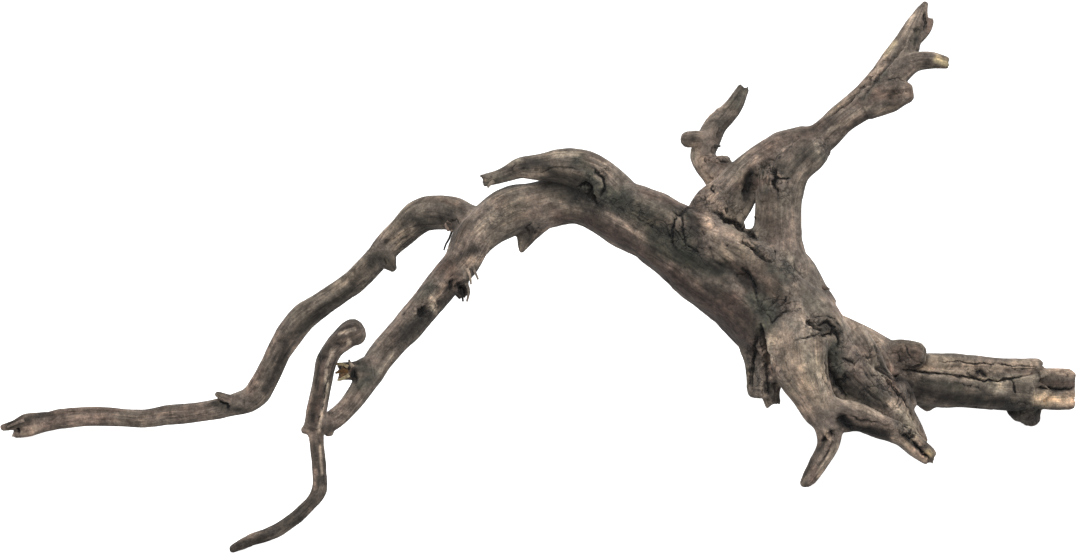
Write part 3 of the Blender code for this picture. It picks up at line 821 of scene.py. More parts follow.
def near_line(where, line, reach):
    """Which places lie in the box round a line of the drawing that is that much wider."""
    ends = np.array(line, float)
    return ((where > ends.min(0) - reach) & (where < ends.max(0) + reach)).all(axis=1)


def carve(points, normals, space, names):
    """Millimetres that each vertex moves out by, how much painted shade darkens its grooves and cracks, and
    how near their cores it lies.
    """
    where, _ = drawn(points)
    where = swayed(points, where, 31, 0.0052, 1.7)
    where = swayed(points, where, 31, 0.0017, 0.9)
    facing = ramp(normals @ OUT, 0.0, 0.3)
    height, dark, core = np.zeros((3, len(points)))
    rough = layered(points / 0.003, 33, 2)
    broken = 0.45 + 0.55 * ramp(layered(points / 0.007, 34, 2), -0.35, 0.2)
    for line, width, depth, darkness, *only in CARVING:
        near = np.flatnonzero(near_line(where, line, CARVING_REACH * width) & (facing > 0))
        if only:
            near = near[np.isin(space.stem[0][near], [names.index(name) for name in only[0]])]
        gap, along = line_distance(where[near], line)
        narrowed = width * GROOVE_WIDTH + GROOVE_EDGE if DEEP < depth < 0 else width * RIDGE_WIDTH
        spread = narrowed * (1 + RAGGED * rough[near])
        share = facing[near] * (1 if darkness == 1 else broken[near])
        lasting = darkness**CORE_FADING * facing[near]
        if len(line) > 1:
            taper = ramp(along, TAPER_START, TAPER_END) * ramp(1 - along, TAPER_START, TAPER_END)
            spread = spread * (0.5 + 0.5 * taper)
            share = share * (0.35 + 0.65 * taper)
            lasting = lasting * (0.6 + 0.4 * taper)
        share = share * np.exp(-((gap / spread) ** 2))
        height[near] += depth * share
        # Painted shade in the groove, with a thin darker line along its core
        if darkness:
            dark[near] = np.maximum(dark[near], darkness * share * (1 if darkness == 1 else FAINT))
        core[near] = np.maximum(core[near], lasting * (1 - gap / CORE_REACH))
    return height, dark, core


def weathering(points, space):
    """Millimetres of grain, flutes, cracks and pits, how much painted shade darkens the cracks and pits, and
    the grain.
    """
    size = np.clip(space.radius[0] / 0.012, 0.45, 1.6)
    small = size**0.5
    whole = (1 - 2 * space.second) ** 0.7
    broad = space.streaks(101, 0.050, 0.0095, 2) * whole
    middle = space.streaks(102, 0.026, 0.0042, 2) * whole
    fine = space.streaks(103, 0.013, 0.0019) * whole
    patchy = ramp(layered(points / 0.028, 110, 2), -0.25, 0.3)
    crease = np.abs(space.streaks(109, 0.075, 0.012, 2)) * whole
    height = size * (0.45 * broad + 0.9 * np.minimum(crease, 0.35) - 0.2)
    height += (0.04 + 0.16 * patchy) * small * middle + (0.02 + 0.07 * patchy) * fine
    height += 0.95 * size * layered(points / 0.024, 104, 2) + 0.36 * small * layered(points / 0.009, 105, 2)
    height += 0.16 * patchy * layered(points / 0.0042, 111, 2)
    height *= np.where(space.square, PLANK_WEAR, 1)
    split = ramp(np.abs(space.streaks(106, 0.060, 0.0090, 2)), 0.0, 0.045)
    crack = (1 - split) * ramp(noise(points / 0.030, 107), 0.3, 0.65) * whole
    pit = ramp(noise(points / 0.0045, 108), 0.74, 0.9) * patchy
    height -= 0.6 * small * crack
    height -= 0.45 * pit
    grain = 0.5 * broad + 0.35 * middle + 0.3 * fine
    # Painted shade in the cracks and pits
    return height, np.maximum(crack * 0.6, pit * 0.6), grain


# Looks


def linear(*screen_values):
    """A colour named in screen values from 11 to 255, as light."""
    return np.array([((value / 255 + 0.055) / 1.055) ** 2.4 for value in screen_values])


# shade is painted shade and sunlit painted light; dark and pale also serve as painted shade and painted
# highlight
TONES = {
    "grey": linear(122, 111, 103),
    "green": linear(82, 81, 74),
    "brown": linear(98, 84, 76),
    "tan": linear(163, 146, 132),
    "pink": linear(146, 128, 118),
    "pale": linear(180, 166, 152),
    "fresh": linear(188, 172, 142),
    "rust": linear(126, 96, 64),
    "dark": linear(56, 51, 47),
    "olive": linear(60, 59, 52),
    "plum": linear(77, 65, 60),
    "sunlit": linear(214, 188, 164),
    "shade": linear(30, 27, 25),
}
# Tints laid along lines of the drawing: tone, line, half width, strength. Besides the wood's own tints, the
# shade strokes and many dark strokes are painted shade, on undersides and in hollows, and the sunlit strokes
# and many pale strokes are painted highlights.
PAINT = [
    # far arm
    ("dark", [(8, 427), (28, 420), (50, 413)], 5, 0.8),
    ("brown", [(50, 412), (80, 408), (125, 409)], 4, 0.7),
    ("pink", [(28, 431), (50, 425), (80, 418), (110, 419)], 4, 0.6),
    ("tan", [(22, 432), (36, 430)], 4, 0.7),
    ("pink", [(130, 418), (150, 418)], 6, 0.5),
    ("brown", [(165, 412), (205, 411)], 5, 0.4),
    ("dark", [(214, 404), (232, 409), (246, 411)], 4, 0.7),
    ("pink", [(218, 399), (228, 401)], 3, 0.6),
    ("dark", [(266, 390), (278, 362), (292, 336), (312, 317), (336, 302), (356, 288)], 5, 0.85),
    ("pink", [(250, 392), (262, 356), (276, 334)], 4, 0.5),
    ("grey", [(330, 311), (350, 298), (370, 282)], 3, 0.8),
    ("tan", [(336, 288), (350, 277), (366, 262)], 3.5, 0.5),
    ("dark", [(362, 270), (376, 262), (392, 262)], 7, 0.7),
    ("tan", [(385, 235), (395, 222)], 5, 0.6),
    ("dark", [(420, 224), (434, 222), (448, 218)], 8, 0.8),
    ("tan", [(392, 240), (404, 231), (412, 228)], 2.5, 0.7),
    ("pink", [(420, 197), (440, 197), (458, 203)], 3.5, 0.6),
    # near arm
    ("dark", [(452, 222), (458, 236), (466, 226)], 9, 0.7),
    ("pale", [(478, 232), (486, 219), (494, 212)], 4, 0.5),
    ("dark", [(452, 268), (466, 256), (475, 250)], 5, 0.8),
    ("brown", [(440, 262), (455, 276), (450, 292)], 10, 0.8),
    ("dark", [(446, 288), (452, 296), (438, 308)], 8, 0.9),
    ("tan", [(466, 264), (472, 262), (479, 262)], 4, 0.9),
    ("tan", [(444, 284), (437, 296)], 3, 0.7),
    ("green", [(430, 286), (420, 298)], 7, 0.7),
    ("dark", [(424, 318), (412, 326), (404, 338)], 10, 1.0),
    ("pale", [(432, 299), (433, 310)], 4, 0.8),
    ("brown", [(395, 340), (385, 352)], 7, 0.4),
    ("pale", [(392, 356), (378, 374)], 3, 0.6),
    ("green", [(362, 368), (374, 374), (360, 386)], 8, 0.8),
    ("rust", [(344, 369), (342, 375)], 5, 0.7),
    ("dark", [(352, 372), (353, 380)], 4, 0.8),
    ("pink", [(340, 409), (356, 397)], 6, 0.5),
    ("dark", [(322, 430), (334, 430)], 5, 0.8),
    # cane and twig
    ("plum", [(350, 325), (338, 338), (328, 356), (320, 385), (314, 425)], 9, 0.7),
    ("dark", [(352, 323), (338, 330), (335, 345), (322, 352)], 6, 0.6),
    ("dark", [(322, 352), (316, 380), (311, 420)], 3, 0.8),
    ("dark", [(336, 358), (332, 380), (329, 408)], 2, 0.8),
    ("brown", [(326, 362), (321, 384), (316, 410)], 2, 0.6),
    ("dark", [(350, 338), (358, 340)], 8, 0.5),
    ("pale", [(340, 334), (355, 329)], 1.6, 0.9),
    ("pale", [(349, 341), (349, 344)], 2, 0.9),
    ("pale", [(334, 352), (328, 366), (326, 390), (323, 408), (318, 430)], 2.0, 0.9),
    ("dark", [(317, 440), (321, 480), (300, 512), (262, 538), (234, 549)], 8, 0.8),
    ("pale", [(320, 446), (322, 474)], 1.2, 0.7),
    ("grey", [(323, 487)], 2.5, 0.9),
    ("pink", [(316, 470), (315, 488)], 2, 0.8),
    # arch and beak
    ("tan", [(520, 200), (535, 197), (550, 196), (562, 200)], 7, 0.45),
    ("brown", [(520, 215), (535, 212)], 8, 0.5),
    ("plum", [(560, 218), (590, 222)], 8, 0.7),
    ("dark", [(556, 196), (572, 204), (586, 209)], 6, 0.6),
    ("dark", [(545, 184), (562, 190), (580, 200), (598, 206)], 8, 0.9),
    ("shade", [(552, 184), (570, 189), (588, 200)], 4, 0.6),
    ("dark", [(526, 163), (542, 167), (558, 175), (574, 181)], 7, 0.9),
    ("pale", [(508, 163), (518, 160)], 3, 0.7),
    ("grey", [(552, 157), (570, 155)], 5, 0.6),
    ("green", [(578, 162), (590, 172), (590, 185)], 8, 0.85),
    ("green", [(490, 181), (510, 176)], 4, 0.5),
    ("pale", [(600, 164), (611, 172)], 5, 0.5),
    ("pale", [(556, 154), (576, 154)], 3, 0.6),
    ("tan", [(498, 198), (506, 208)], 7, 0.6),
    ("dark", [(528, 232), (531, 244)], 8, 0.7),
    # trunk
    ("green", [(598, 184), (612, 200)], 9, 0.8),
    ("green", [(620, 194), (650, 206), (676, 214)], 9, 0.6),
    ("olive", [(618, 204), (645, 220), (668, 238), (690, 252)], 12, 0.95),
    ("olive", [(688, 236), (696, 226), (690, 216)], 7, 0.8),
    ("brown", [(640, 190), (668, 200), (684, 205)], 3, 0.6),
    ("plum", [(590, 222), (625, 240), (662, 268), (702, 298), (738, 334)], 10, 0.9),
    ("olive", [(684, 256), (706, 268), (722, 270)], 9, 0.9),
    ("tan", [(606, 213), (622, 223), (640, 236)], 3, 0.4),
    ("olive", [(652, 240), (670, 254), (694, 266)], 7, 0.8),
    ("pink", [(668, 266), (690, 281), (708, 293)], 4, 0.4),
    ("brown", [(694, 206), (700, 216), (698, 230)], 6, 0.6),
    ("tan", [(707, 216), (712, 230), (720, 245), (731, 258)], 4.5, 0.65),
    ("dark", [(692, 224), (698, 242), (706, 258), (722, 269)], 6, 0.9),
    ("tan", [(730, 238), (744, 250), (758, 262)], 9, 0.7),
    ("brown", [(762, 272), (774, 284), (780, 300)], 11, 0.8),
    ("dark", [(764, 296), (773, 306), (770, 320)], 7, 0.7),
    ("plum", [(738, 268), (750, 280), (760, 296)], 8, 0.9),
    ("plum", [(712, 296), (735, 322), (752, 346)], 12, 0.75),
    ("grey", [(718, 284), (731, 289), (743, 301)], 4, 0.6),
    ("plum", [(728, 298), (744, 314), (758, 328)], 10, 0.9),
    ("dark", [(732, 273), (742, 282), (750, 292)], 5, 0.9),
    ("dark", [(694, 276), (708, 286), (720, 296)], 6, 0.6),
    ("green", [(756, 300), (768, 312), (764, 326)], 10, 0.85),
    ("green", [(770, 270), (788, 276), (792, 262)], 8, 0.6),
    ("green", [(786, 292), (806, 302)], 12, 0.35),
    ("pink", [(826, 300), (840, 318), (856, 328)], 6, 0.8),
    # crown and its roots
    ("tan", [(782, 345), (800, 370), (812, 398)], 18, 0.8),
    ("tan", [(815, 345), (822, 370), (826, 392)], 8, 0.9),
    ("pink", [(770, 350), (775, 372)], 5, 0.7),
    ("grey", [(744, 366), (748, 388)], 5, 0.8),
    ("dark", [(770, 386), (776, 400)], 6, 0.7),
    ("green", [(834, 348), (838, 372), (846, 392), (866, 402)], 9, 0.9),
    ("dark", [(838, 380), (856, 396), (884, 408)], 6, 0.8),
    ("tan", [(868, 352), (876, 366)], 7, 0.6),
    ("olive", [(874, 386), (886, 396)], 8, 0.6),
    ("pink", [(890, 372), (896, 390)], 6, 0.7),
    ("tan", [(896, 404), (908, 420), (922, 438)], 6, 1.0),
    ("pale", [(896, 406), (903, 417), (914, 430)], 6, 1.0),
    ("pale", [(868, 362), (884, 378)], 4, 0.6),
    ("dark", [(824, 329), (836, 334)], 5, 0.9),
    ("dark", [(850, 382), (862, 388)], 8, 0.8),
    ("brown", [(866, 342), (870, 352)], 7, 0.6),
    ("pale", [(804, 310), (822, 308)], 7, 0.3),
    ("pale", [(796, 320), (806, 329), (806, 345), (812, 365), (820, 392)], 9, 0.7),
    ("pale", [(846, 320), (860, 327), (878, 340)], 7, 0.6),
    ("pale", [(770, 344), (772, 358)], 5, 0.8),
    ("pale", [(838, 398), (862, 407), (884, 417)], 4, 0.5),
    ("shade", [(842, 421), (852, 428), (868, 431), (886, 437)], 7, 1.0),
    ("dark", [(905, 438), (915, 442)], 4, 0.7),
    ("dark", [(824, 442), (814, 458), (804, 476)], 3.5, 0.7),
    ("pale", [(837, 446), (829, 460), (820, 474)], 3, 0.8),
    ("pink", [(816, 468), (812, 480)], 4, 0.9),
    ("tan", [(824, 432), (828, 438)], 4, 0.7),
    ("tan", [(906, 442), (916, 452), (926, 460)], 4, 0.9),
    ("fresh", [(930, 454)], 5, 0.9),
    # back root
    ("brown", [(900, 348), (914, 352), (918, 360)], 9, 0.8),
    ("shade", [(898, 378), (910, 382)], 5, 0.9),
    ("dark", [(915, 391), (950, 397), (985, 400), (1010, 404)], 9, 1.0),
    ("olive", [(925, 382), (960, 386)], 5, 0.8),
    ("tan", [(925, 368), (950, 370), (975, 372)], 5, 0.9),
    ("pale", [(914, 374), (950, 376), (1000, 380), (1034, 378)], 4, 0.6),
    ("tan", [(930, 359), (980, 365), (1034, 365)], 5, 0.9),
    ("brown", [(1005, 371), (1034, 372)], 2, 0.6),
    ("brown", [(975, 374), (986, 374)], 5, 0.7),
    ("pale", [(994, 384), (1004, 388)], 6, 0.9),
    ("grey", [(1018, 389), (1030, 388)], 6, 0.6),
    ("dark", [(1012, 412), (1034, 412)], 10, 0.8),
    ("plum", [(1042, 383), (1074, 384)], 4, 0.8),
    ("sunlit", [(1038, 399), (1072, 401)], 6, 0.85),
    ("tan", [(1042, 372), (1074, 373)], 4, 1.0),
    # upright stems
    ("brown", [(736, 188), (742, 184), (748, 178)], 5, 0.8),
    ("shade", [(750, 172), (747, 197)], 5, 0.8),
    ("green", [(762, 170), (764, 190)], 5, 0.6),
    ("brown", [(770, 196), (768, 215), (772, 235)], 8, 0.6),
    ("olive", [(778, 166), (792, 170), (800, 160)], 8, 0.6),
    ("green", [(806, 150), (822, 156)], 8, 0.6),
    ("brown", [(765, 146), (785, 140), (806, 132), (822, 124)], 8, 0.7),
    ("dark", [(806, 132), (824, 130), (834, 122)], 8, 0.5),
    ("pale", [(815, 142), (818, 150)], 3, 0.5),
    ("pale", [(785, 196), (786, 214)], 4, 0.5),
    ("brown", [(752, 186), (764, 180)], 6, 0.7),
    ("tan", [(710, 197), (717, 209), (734, 217)], 4, 0.7),
    ("pale", [(785, 252), (791, 259)], 4, 0.7),
    # upright limb
    ("tan", [(872, 76), (884, 60), (892, 46)], 5, 0.8),
    ("fresh", [(886, 54), (894, 44)], 4, 0.35),
    ("tan", [(828, 114), (848, 99), (866, 80)], 3, 0.6),
    ("pale", [(830, 130), (852, 117), (872, 106)], 2, 0.6),
    ("brown", [(862, 104), (880, 96), (892, 98)], 7, 0.7),
    ("dark", [(842, 131), (858, 121), (874, 115)], 4, 0.8),
    ("brown", [(908, 86), (912, 96)], 4, 0.6),
    ("pale", [(905, 36), (914, 18)], 4, 0.5),
    ("green", [(886, 72), (874, 86), (864, 100)], 3.5, 0.7),
    ("brown", [(880, 92), (894, 90)], 8, 0.6),
    ("tan", [(880, 112), (900, 106)], 5, 0.7),
    ("dark", [(905, 62), (920, 58), (930, 60)], 5, 0.4),
    ("fresh", [(938, 58), (946, 63)], 4, 1.0),
    ("pale", [(902, 24), (910, 14)], 4, 0.4),
    ("green", [(918, 30), (914, 42)], 5, 0.6),
    ("pink", [(929, 22), (930, 30)], 3, 0.9),
    # antler
    ("green", [(742, 90), (732, 104)], 6, 0.6),
    ("dark", [(686, 139), (692, 141)], 7, 0.6),
    ("dark", [(722, 122), (714, 140)], 5, 0.6),
    ("tan", [(694, 146), (698, 160), (706, 182)], 6, 0.8),
    ("brown", [(708, 162), (722, 162)], 5, 0.7),
    ("pale", [(692, 149), (694, 160)], 3, 0.7),
]


def tone_of(points, space):
    """Each vertex's tint: the drawing's tints, painted shade and painted highlights among them, on all sides
    of the wood, with uneven edges.
    """
    where, _ = drawn(points)
    wander = 4.5 * np.stack([layered(points / 0.012, 41, 2), layered(points / 0.012, 42, 2)], 1)
    colour = np.tile(TONES["grey"], (len(points), 1))
    streak = 1 + 0.35 * space.streaks(43, 0.03, 0.005, 2)
    for tone, line, width, strength in PAINT:
        near = np.flatnonzero(near_line(where, line, 2.6 * width + 5))
        gap, _ = line_distance(where[near] + wander[near] * min(1, width / 6), line)
        share = strength * np.exp(-((gap / width / streak[near]) ** 3))
        colour[near] += (TONES[tone] - colour[near]) * share[:, None]
    return colour


# Skin that has dried into small plates, along lines of the drawing: line, half width, strength
CRAZED = [
    ([(604, 200), (630, 210), (655, 224), (684, 244), (700, 256)], 9, 0.9),
    ([(664, 226), (676, 232), (688, 236)], 12, 1.0),
    ([(578, 196), (592, 178), (603, 172)], 8, 0.9),
    ([(592, 205), (606, 196)], 6, 0.6),
    ([(690, 206), (703, 198), (716, 212), (734, 222), (756, 238)], 7, 0.9),
    ([(744, 242), (762, 254), (782, 262), (796, 276)], 8, 0.8),
    ([(762, 305), (776, 305), (792, 302)], 11, 0.9),
    ([(808, 322), (822, 330), (838, 334), (842, 348)], 9, 0.9),
    ([(752, 340), (756, 372), (764, 392)], 8, 0.8),
    ([(776, 372), (790, 380)], 8, 0.6),
    ([(834, 372), (852, 366), (872, 352)], 9, 0.8),
    ([(858, 392), (876, 384), (892, 392), (902, 404)], 10, 0.9),
    ([(896, 428), (910, 436)], 7, 0.9),
    ([(764, 168), (776, 180), (786, 190)], 10, 0.9),
    ([(716, 190), (728, 205), (744, 214)], 7, 0.6),
    ([(818, 142), (828, 144)], 6, 0.7),
    ([(706, 160), (722, 160)], 7, 0.7),
    ([(896, 350), (904, 362)], 9, 0.7),
    ([(968, 372), (990, 376)], 7, 0.8),
    ([(1014, 408), (1030, 412)], 10, 0.8),
    ([(450, 284), (466, 290)], 7, 0.8),
    ([(420, 312), (432, 306)], 8, 0.8),
    ([(528, 228), (536, 236)], 6, 0.6),
    ([(900, 88), (908, 92)], 5, 0.6),
    ([(912, 30), (918, 40)], 5, 0.5),
]


def crazing(points):
    """How far each vertex's skin has dried into plates, from 0 to 1."""
    where, _ = drawn(points)
    where = where + 5 * np.stack([layered(points / 0.009, 51, 2), layered(points / 0.009, 52, 2)], 1)
    share = 0.35 * ramp(layered(points / 0.03, 53, 2), 0.15, 0.5)
    for line, width, strength in CRAZED:
        gap, _ = line_distance(where, line)
        share = np.maximum(share, strength * np.exp(-((gap / width) ** 2)))
    return share


def add_attribute(mesh, name, values, kind="FLOAT", domain="POINT"):
    """Values that the material reads by name, one for each vertex or face corner."""
    made = mesh.attributes.new(name, kind, domain)
    key = {"FLOAT": "value", "FLOAT_VECTOR": "vector", "FLOAT_COLOR": "color"}[kind]
    made.data.foreach_set(key, np.ascontiguousarray(values, np.float32).ravel())


# Each stem's own place in the finest grain
CORNER_SHIFT = 0.37


def limb_corners(triangles, points, space, stems):
    """For each face corner its place along and round one stem, which the finest grain is drawn on."""
    owner = space.stem[0][triangles[:, 0]]
    corners = np.zeros((len(triangles), 3, 3))
    for stem in stems:
        chosen = np.flatnonzero(owner == stem.order)
        if not len(chosen):
            continue
        length, angle, _, _ = stem.coordinates(points[triangles[chosen]].reshape(-1, 3))
        round_it = np.cos(angle) * stem.radius, np.sin(angle) * stem.radius
        shifted = length + CORNER_SHIFT * stem.order
        corners[chosen] = np.stack([shifted, *round_it], 1).reshape(-1, 3, 3)
    return corners


# The sockets of a mix node that takes colours
MIX_SHARE, MIX_A, MIX_B, MIX_RESULT = 0, 6, 7, 2


class Nodes:
    """Short calls for building the node tree of a material or of the surroundings."""

    def __init__(self, owner, shader="Principled BSDF"):
        owner.use_nodes = True
        self.tree = owner.node_tree
        self.shader = self.tree.nodes[shader]

    def feed(self, node, values):
        """Sets a node's inputs, or links them where a value is another node's output."""
        for name, value in values.items():
            socket = node.inputs[name]
            if isinstance(value, bpy.types.NodeSocket):
                self.tree.links.new(value, socket)
            elif socket.type == "RGBA":
                socket.default_value = (*value, 1)
            else:
                socket.default_value = value

    def add(self, kind, values=None, output=0, **settings):
        """A new node's output."""
        node = self.tree.nodes.new(kind)
        for key, value in settings.items():
            setattr(node, key, value)
        self.feed(node, values or {})
        return node.outputs[output]

    def attribute(self, name, output="Fac"):
        return self.add("ShaderNodeAttribute", output=output, attribute_name=name)

    def stretched(self, vector, scale):
        return self.add("ShaderNodeMapping", {"Vector": vector, "Scale": scale})

    def noise(self, vector, scale, detail, roughness, distortion=0.0, output="Fac"):
        values = {"Vector": vector, "Scale": scale, "Detail": detail, "Roughness": roughness}
        return self.add("ShaderNodeTexNoise", {**values, "Distortion": distortion}, output)

    def remap(self, value, low, high, to_low=0.0, to_high=1.0):
        ends = {"From Min": low, "From Max": high, "To Min": to_low, "To Max": to_high}
        return self.add("ShaderNodeMapRange", {"Value": value, **ends})

    def math(self, operation, a, b):
        return self.add("ShaderNodeMath", {0: a, 1: b}, operation=operation)

    def times(self, a, b):
        return self.math("MULTIPLY", a, b)

    def limited(self, value):
        return self.add("ShaderNodeClamp", {"Value": value})

    def multiplied(self, colour, share, tint):
        """The colour, and by that share the colour times the tint."""
        values = {MIX_SHARE: share, MIX_A: colour, MIX_B: tint}
        return self.add("ShaderNodeMix", values, MIX_RESULT, data_type="RGBA", blend_type="MULTIPLY")

    def tinted(self, colour, where, most, tint):
        """The colour times a tint, up to a share of most where that value is 1."""
        return self.multiplied(colour, self.times(self.limited(where), most), tint)

    def steeper(self, colour, power, gain):
        """The colour with more contrast."""
        return self.multiplied(self.add("ShaderNodeGamma", {"Color": colour, "Gamma": power}), 1.0, gain)

    def cells(self, vector, scale, sway):
        """Distance from the nearest border between uneven cells, as a share of a cell."""
        bend = self.noise(vector, scale * 1.4, 3.0, 0.5, output="Color")
        values = {0: bend, 1: (sway, sway, sway), 2: vector}
        moved = self.add("ShaderNodeVectorMath", values, operation="MULTIPLY_ADD")
        values = {"Vector": moved, "Scale": scale}
        return self.add("ShaderNodeTexVoronoi", values, "Distance", feature="DISTANCE_TO_EDGE")

    def bump(self, height, strength, distance, below=None):
        """A surface direction with bumps of that height, on top of the bumps below."""
        values = {"Height": height, "Strength": strength, "Distance": distance}
        if below is not None:
            values["Normal"] = below
        return self.add("ShaderNodeBump", values)


# Tints over the skin: pattern, where the tint starts and where it is full, its share and its colour
SKIN_TINTS = (
    ("cloud", 0.46, 0.60, 0.45, (0.72, 0.77, 0.71)),
    ("cloud", 0.50, 0.38, 0.55, (1.25, 1.18, 1.14)),
    ("blotch", 0.50, 0.61, 0.60, (0.52, 0.50, 0.49)),
    ("blotch", 0.48, 0.38, 0.60, (1.44, 1.38, 1.33)),
    ("drift", 0.50, 0.63, 0.60, (0.52, 0.50, 0.49)),
    ("drift", 0.48, 0.36, 0.50, (1.45, 1.37, 1.30)),
    ("mottle", 0.50, 0.63, 0.60, (0.50, 0.49, 0.48)),
    ("mottle", 0.48, 0.35, 0.50, (1.50, 1.46, 1.42)),
    ("thread", 0.50, 0.66, 0.50, (0.58, 0.56, 0.55)),
    ("thread", 0.48, 0.34, 0.40, (1.38, 1.33, 1.28)),
    ("scratch", 0.38, 0.32, 0.60, (1.80, 1.75, 1.68)),
    ("scratch", 0.63, 0.69, 0.60, (0.45, 0.43, 0.42)),
    ("speck", 0.46, 0.32, 0.60, (1.50, 1.48, 1.45)),
    ("speck", 0.54, 0.66, 0.60, (0.58, 0.57, 0.56)),
    ("grain", -0.1, -0.5, 0.55, (0.58, 0.56, 0.54)),
    ("grain", 0.15, 0.5, 0.40, (1.28, 1.22, 1.16)),
    # Ridges paler: partly wear, partly painted highlight
    ("ridge", 0.15, 0.9, 0.85, (1.55, 1.50, 1.45)),
)
# Patterns that run along one stem and so fade out where two stems meet
ALONG_STEMS = ("drift", "thread", "scratch")


def wood_material():
    """Worn grey wood: clouded and streaked, with painted shade in its hollows and cracks, and paler on its
    ridges as wear and painted highlight.
    """
    material = bpy.data.materials.new("driftwood_weathered")
    n = Nodes(material)
    place_on = n.add("ShaderNodeTexCoord", output="Object")
    along = n.attribute("along", "Vector")
    whole = n.attribute("whole")
    skin = {
        "cloud": n.noise(place_on, 26, 3.0, 0.55),
        "blotch": n.noise(place_on, 95, 4.0, 0.6),
        "mottle": n.noise(place_on, 260, 3.0, 0.6),
        "speck": n.noise(place_on, 1000, 2.0, 0.6),
        "drift": n.noise(n.stretched(along, (34, 190, 190)), 1.0, 3.0, 0.6, 0.4),
        "thread": n.noise(n.stretched(along, (60, 620, 620)), 1.0, 3.0, 0.6),
        "scratch": n.noise(n.stretched(along, (45, 900, 900)), 1.0, 2.0, 0.5),
        "grain": n.attribute("grain"),
        "ridge": n.attribute("ridge"),
    }
    blotch, mottle, speck = skin["blotch"], skin["mottle"], skin["speck"]
    colour = n.attribute("tone", "Color")
    for pattern, start, full, share, tint in SKIN_TINTS:
        where = n.remap(skin[pattern], start, full)
        if pattern in ALONG_STEMS:
            where = n.times(where, whole)
        colour = n.tinted(colour, where, share, tint)

    # borders of the plates that the skin has dried into
    wide = n.times(n.remap(n.cells(place_on, 150, 0.0045), 0.075, 0.015), n.remap(mottle, 0.36, 0.48))
    small = n.remap(n.cells(place_on, 330, 0.0022), 0.10, 0.02)
    small = n.times(small, n.remap(blotch, 0.44, 0.55, 0.0, 0.9))
    gaps = n.times(n.math("MAXIMUM", wide, small), n.attribute("crazed"))
    colour = n.tinted(colour, gaps, 0.92, (0.16, 0.15, 0.14))

    # painted shade: darker in hollows, carved grooves, cracks and pits, and in the thin dark cores of the
    # carved cracks
    colour = n.tinted(colour, n.remap(n.attribute("cavity"), 0.05, 0.85), 0.95, (0.11, 0.10, 0.095))
    split = n.math("ADD", n.attribute("core"), n.remap(mottle, 0.3, 0.7, -0.20, 0.20))
    split = n.math("ADD", split, n.remap(speck, 0.3, 0.7, -0.10, 0.10))
    split = n.limited(n.remap(split, 0.66, 0.84))
    colour = n.tinted(colour, split, 0.85, (0.22, 0.20, 0.19))

    rough = n.bump(speck, 0.3, 0.0006)
    rough = n.bump(n.times(skin["thread"], whole), 0.4, 0.0012, rough)
    rough = n.bump(mottle, 0.4, 0.0016, rough)
    rough = n.bump(blotch, 0.4, 0.0034, rough)
    rough = n.bump(n.times(gaps, -1.0), 1.0, 0.0010, rough)
    rough = n.bump(n.times(split, -1.0), 1.0, 0.0012, rough)
    n.feed(n.shader, {
        "Base Color": n.steeper(colour, 1.14, (1.29, 1.34, 1.345)),
        "Diffuse Roughness": 1.0,
        "Sheen Weight": 0.08,
        "Roughness": n.remap(skin["drift"], 0.3, 0.7, 0.64, 0.88),
        "Specular IOR Level": 0.3,
        "Normal": rough,
    })
    return material


# The wood


def grown_form(stems):
    """The tubes fused into one surface, as points and triangles."""
    vertices, faces, _ = joined_tubes(stems)
    rough = mesh_object("tubes", vertices, faces)
    skin = rough.modifiers.new("grown together", "REMESH")
    skin.mode = "VOXEL"
    skin.voxel_size = VOXEL
    fused = evaluated_arrays(rough)
    bpy.data.objects.remove(rough)
    return fused


def thinned(points, triangles):
    """The same surface with at most MOST_TRIANGLES."""
    if len(triangles) <= MOST_TRIANGLES:
        return points, triangles
    dense = mesh_object("dense", points, triangles)
    fewer = dense.modifiers.new("fewer", "DECIMATE")
    fewer.ratio = MOST_TRIANGLES / len(triangles)
    made = evaluated_arrays(dense)
    bpy.data.objects.remove(dense)
    return made


def carried_over(source, target, values):
    """Each target point's value at the source point nearest to it."""
    tree = kdtree.KDTree(len(source))
    for index, point in enumerate(source):
        tree.insert(point, index)
    tree.balance()
    nearest = np.array([tree.find(point)[1] for point in target])
    return [value[nearest] for value in values]


def hollowness(points, triangles, edges, degree):
    """How deep each vertex lies in hollows, below 0 on ridges."""
    normals = vertex_normals(points, triangles)
    near = blurred(points, edges, degree, NEAR_SMOOTHING)
    far = blurred(near, edges, degree, FAR_SMOOTHING)
    return ((near - points) * normals).sum(1) / NEAR_HOLLOW + ((far - points) * normals).sum(1) / FAR_HOLLOW


